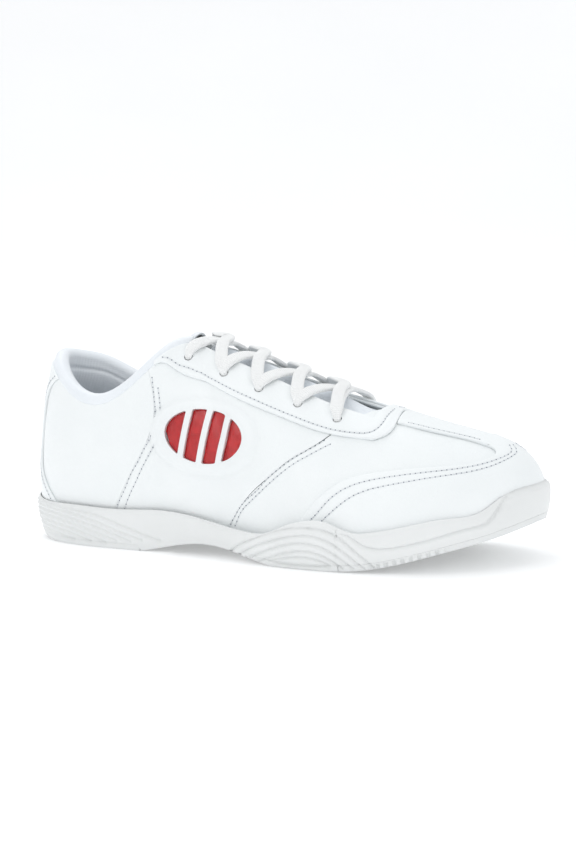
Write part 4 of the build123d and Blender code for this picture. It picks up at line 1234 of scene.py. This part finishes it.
def collar_lining():
    """Soft lining from below the ankle padding up and over the top edge, as one padded band."""
    k = np.linspace(-COLLAR_FRONT, COLLAR_FRONT, 361)[:, None]
    h = from_heel(k)
    low = lining_top(h) + .012
    t = np.linspace(0, 1, 34)[None]
    v = low * (1 - t) + t
    swell = 1.3 * np.sin(np.pi * np.clip(t, 0, 1)) ** 1.2 * smoothstep((COLLAR_FRONT - h) / .6)
    channel = .8 * np.exp(-((v - .93) / .012) ** 2) * smoothstep((COLLAR_FRONT - h) / .5)
    depth = FOAM_OUT - collar_depth(v) - FIT
    kk = k + 0 * v
    pucker = .03 * np.sin(kk * 55) * np.exp(-((v - .93) / .03) ** 2)
    wall_out = at_depth(kk, v, depth)
    wall_in = at_depth(kk, v, depth - LINING - swell + channel + pucker)
    turn = np.linspace(0, 1, 22)[None]
    kr = k + 0 * turn
    edge = at_depth(kr, np.ones(kr.shape), np.zeros(kr.shape))
    n = normal(kr, np.ones(kr.shape))
    rise = skin(kr, 1.0) - skin(kr, 0.98)
    rise /= np.linalg.norm(rise, axis=-1, keepdims=True)
    d_in = float(FOAM_OUT - collar_depth(np.array(1.0)) - FIT)

    def roll(inside, outside, height):
        middle, half = (inside + outside) / 2, (outside - inside) / 2
        a = middle - half * np.cos(np.pi * turn)
        u = height * np.sin(np.pi * turn) ** .85
        return edge + n * a[..., None] + rise * u[..., None]

    roll_in = roll(d_in - LINING, .35, COLLAR_ROLL + .5)
    roll_out = roll(d_in, -LINING + .3, COLLAR_ROLL - LINING + .5)
    tail = np.linspace(1, .962, 6)[None, 1:]
    kt = k + 0 * tail
    tail_out = at_depth(kt, tail + 0 * kt, np.full(kt.shape, .35) * np.array([1, 1, 1, .9, .3])[None])
    tail_in = at_depth(kt, tail + 0 * kt, np.full(kt.shape, -.1))
    face = np.concatenate([wall_in, roll_in[:, 1:], tail_out], 1)
    back = np.concatenate([wall_out, roll_out[:, 1:], tail_in], 1)
    return mesh_object("collar_band", *shell([(face, back, "LRBT")], flip=True))


bends(collar_foam(), "padding", "padding", "collar_foam")
collar = bends(collar_lining(), "satin", "collar", "collar_lining")


# ---------------------------------------------------------------- tongue
# k at the tongue's top in the middle and at its edges, k at its base, and v at its edges.
TONGUE_TOP, TONGUE_WING, TONGUE_BASE, TONGUE_EDGE = 6.02, 5.3, 9.2, 0.60


def tongue_sheet(start, end, puff, step_k=90, step_v=36):
    s = np.linspace(0, 1, step_k)[:, None]
    t = np.linspace(0, 1, step_v)[None]
    top = TONGUE_WING + (TONGUE_TOP - TONGUE_WING) * smoothstep(t)
    k = top + (TONGUE_BASE - top) * s
    v = TONGUE_EDGE * (1 - t) + t + 0 * s

    def depth(share):
        thick = 2.6 + 2.6 * smoothstep((v - .66) / .3)
        in_throat = smoothstep((v - .84) / .16) * smoothstep((8.9 - from_heel(k)) / .8)
        return LINING_IN - .9 + 2.6 * in_throat - share * thick

    rounded = smoothstep(s / .035) ** .5
    middle = (depth(start) + depth(end)) / 2
    swell = puff * np.sin(np.pi * np.clip(s * 1.6, 0, 1)) * smoothstep((v - .86) / .1)
    up = middle + (depth(start) - middle) * rounded + swell
    down = middle + (depth(end) - middle) * rounded
    lateral = (at_depth(k, v, up), at_depth(k, v, down))
    medial = (at_depth(ROUND - k, v, up), at_depth(ROUND - k, v, down))
    outer = np.concatenate([lateral[0], medial[0][:, -2::-1]], 1)
    inner = np.concatenate([lateral[1], medial[1][:, -2::-1]], 1)
    return shell([(outer, inner, "LRBT")])


tongue = rides(mesh_object("tongue_face", *tongue_sheet(0, .20, .5)), "tongue", "tongue", "tongue",
               "tongue_cover")
rides(mesh_object("tongue_padding", *tongue_sheet(.22, .80, 0)), "padding", "padding", "tongue",
      "tongue_foam")
rides(mesh_object("tongue_back", *tongue_sheet(.82, 1, 0)), "satin", "lining", "tongue", "tongue_lining")


# ---------------------------------------------------------------- laces
CROSS_AT = 0.92        # the laces cross this far towards the front eyelet of each pair


def lace_strand(start, end, hump, bulge):
    """One stretch of flat lace, out of an eyelet, over the tongue and into the other one."""
    (k0, v0), (k1, v1) = start, end
    rear, fore = min(k0, k1), max(k0, k1)
    km = rear + CROSS_AT * (fore - rear)
    points = []
    facing = []

    def add(k, v, d):
        points.append(at_depth(k, v, np.array(float(d))))
        facing.append(normal(k, v))

    add(k0, v0 - .004, -1.2)
    add(k0, v0 + .004, 1.2)
    add(k0 + (km - k0) * .08, v0 + .03, 2.8)
    add(k0 + (km - k0) * .42, v0 + (1 - v0) * .44, 2.7 + hump * .3)
    add(k0 + (km - k0) * .80, v0 + (1 - v0) * .78, 1.7 + hump)
    ridge = (at_depth(km, 1.0, np.array(0.0)) + at_depth(ROUND - km, 1.0, np.array(0.0))) / 2
    n = normal(km, 1.0) + normal(ROUND - km, 1.0)
    n /= np.linalg.norm(n)
    points.append(ridge + n * (.9 + hump + bulge))
    facing.append(n)
    km2 = ROUND - k1
    add(ROUND - km + (km2 - (ROUND - km)) * .28, v1 + (1 - v1) * .78, 1.7 + hump)
    add(ROUND - km + (km2 - (ROUND - km)) * .65, v1 + (1 - v1) * .44, 2.7 + hump * .3)
    add(km2 + (ROUND - km - km2) * .08, v1 + .03, 2.8)
    add(km2, v1 + .004, 1.2)
    add(km2, v1 - .004, -1.2)
    points, facing = np.array(points), np.array(facing)
    run = run_along(points)
    at = np.linspace(0, run[-1], 90)
    line = cubic(run, points)(at)
    up = np.stack([np.interp(at, run, facing[:, i]) for i in range(3)], 1)
    tangent = np.gradient(line, axis=0)
    tangent /= np.linalg.norm(tangent, axis=1, keepdims=True)
    across = np.cross(up, tangent)
    across /= np.linalg.norm(across, axis=1, keepdims=True)
    up = np.cross(tangent, across)
    near = np.minimum(at, run[-1] - at)
    width = 3.4 + 2.5 * smoothstep((near - 2.0) / 6.5)
    thick = 2.6 - 0.3 * smoothstep((near - 2.0) / 6.5)
    around_it = np.linspace(0, 2 * np.pi, 25)[:-1]
    c, s = np.cos(around_it), np.sin(around_it)
    px = np.sign(c) * np.abs(c) ** .75
    py = np.sign(s) * np.abs(s) ** .8
    crown = 1 + .06 * np.cos(3 * around_it)
    ring = line[:, None] + across[:, None] * (px * crown)[None, :, None] * (width / 2)[:, None, None]
    ring = ring + up[:, None] * py[None, :, None] * (thick / 2)[:, None, None]
    uv = np.stack([np.repeat(at[:, None], 24, 1), px[None] * (width / 2)[:, None]], -1)
    return ring, uv


def laces():
    verts, faces, uvs = [], [], []
    base = 0
    front = EYELETS[-1]
    strands = [(front, front, .2, .4)]
    for rear, fore in zip(EYELETS[:-1], EYELETS[1:]):
        strands.append((rear, fore, .1, .1))
        strands.append((fore, rear, 2.0, .8))
    for strand in strands:
        ring, uv = lace_strand(*strand)
        n, m = ring.shape[:2]
        verts.append(ring.reshape(-1, 3))
        uvs.append(uv.reshape(-1, 2))
        for i in range(n - 1):
            for j in range(m):
                a, b = base + i * m + j, base + i * m + (j + 1) % m
                faces.append([a, b, b + m, a + m])
        faces.append([base + j for j in range(m - 1, -1, -1)])
        faces.append([base + (n - 1) * m + j for j in range(m)])
        base += n * m
    return mesh_object("laces", np.concatenate(verts), faces, np.concatenate(uvs))


bends(laces(), "lace", "lace", "lace")

# ---------------------------------------------------------------- frame parts that stay as made
for name, mat in (("shank", "steel"), ("heel_counter", "stiff"), ("window_film", "film"),
                  ("colour_card", "card")):
    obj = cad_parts[name]
    obj.data.materials.clear()
    obj.data.materials.append(MAT[mat])


# ---------------------------------------------------------------- floor, light, camera
CAMERA_AZIMUTH, CAMERA_ELEVATION, CAMERA_ROLL = 28.32, 8.723, 1.411   # degrees
CAMERA_DISTANCE, AIM_HEIGHT = 1.1908, .040
SWEEP_RADIUS = 1.2


def floor_nodes(tree, shader):
    at = coords(tree)
    tint(tree, shader, noise_tex(tree, at, 3, 2), (.94, .945, .95), (.97, .972, .975))


def sweep():
    """Paper floor that curves up into a backdrop behind the shoe."""
    across_it = np.linspace(-4, 4, 9)
    run = [(-3.0, 0.0), (0.0, 0.0), (SWEEP_RADIUS, 0.0)]
    run += [(SWEEP_RADIUS + SWEEP_RADIUS * math.sin(a), SWEEP_RADIUS - SWEEP_RADIUS * math.cos(a))
            for a in np.linspace(.1, math.pi / 2, 14)]
    run += [(2.4, 3.0), (2.4, 5.0)]
    turn = math.radians(CAMERA_AZIMUTH)
    verts = [(x * math.cos(turn) - y * math.sin(turn), x * math.sin(turn) + y * math.cos(turn), z + cad_low.z)
             for y, z in run for x in across_it]
    mesh = bpy.data.meshes.new("paper_sweep")
    mesh.from_pydata(verts, [], grid_faces(len(run), len(across_it), flip=True))
    mesh.polygons.foreach_set("use_smooth", np.ones(len(mesh.polygons), bool))
    obj = bpy.data.objects.new("paper_sweep", mesh)
    bpy.context.scene.collection.objects.link(obj)
    mesh.materials.append(material("paper_floor", (.95, .95, .95), .85, floor_nodes, Emission_Strength=0.16,
                                   Emission_Color=(1, 1, 1, 1)))


sweep()


def light(name, place, target, size, power, colour=(1, 1, 1)):
    data = bpy.data.lights.new(name, "AREA")
    data.shape = "RECTANGLE"
    data.size, data.size_y = size
    data.energy = power
    data.color = colour
    obj = bpy.data.objects.new(name, data)
    bpy.context.scene.collection.objects.link(obj)
    obj.location = place
    obj.rotation_mode = "QUATERNION"
    obj.rotation_quaternion = (Vector(target) - Vector(place)).to_track_quat("-Z", "Y")


light("key", (-.5, -1.1, 1.2), (0, 0, .04), (1.0, 1.0), 3.6, (1, .99, .985))
light("top", (.1, .1, 1.4), (0, 0, .04), (1.2, 1.2), 2.6, (.985, .99, 1))
light("inside", (-.5, .45, 1.1), (-.08, 0, .05), (.5, .5), 1.6, (.99, .99, 1))
light("front", (1.2, -.5, .5), (0, 0, .05), (.8, .8), 1.2, (.98, .99, 1))

world = bpy.data.worlds.new("studio")
world.use_nodes = True
background = world.node_tree.nodes["Background"]
background.inputs["Color"].default_value = (.97, .985, 1, 1)
background.inputs["Strength"].default_value = .75
bpy.context.scene.world = world
bpy.context.scene.view_settings.view_transform = "Standard"

azimuth, elevation, roll = (math.radians(a) for a in (CAMERA_AZIMUTH, CAMERA_ELEVATION, CAMERA_ROLL))
pivot = Vector((SHIFT[0] * .001, SHIFT[1] * .001, AIM_HEIGHT))
back = Vector((math.sin(azimuth) * math.cos(elevation), -math.cos(azimuth) * math.cos(elevation),
               math.sin(elevation)))
right = Vector((math.cos(azimuth), math.sin(azimuth), 0))
up = back.cross(right)
x_axis = right * math.cos(roll) - up * math.sin(roll)
y_axis = right * math.sin(roll) + up * math.cos(roll)
camera_data = bpy.data.cameras.new("camera")
camera_data.lens = 107.4
camera_data.sensor_width = 36
camera_data.shift_x = .0026
camera_data.shift_y = .0346
camera = bpy.data.objects.new("camera", camera_data)
bpy.context.scene.collection.objects.link(camera)
camera.location = pivot + back * CAMERA_DISTANCE
camera.rotation_mode = "QUATERNION"
camera.rotation_quaternion = Matrix((x_axis, y_axis, back)).transposed().to_quaternion()
camera_data.clip_start, camera_data.clip_end = .05, 20
bpy.context.scene.camera = camera
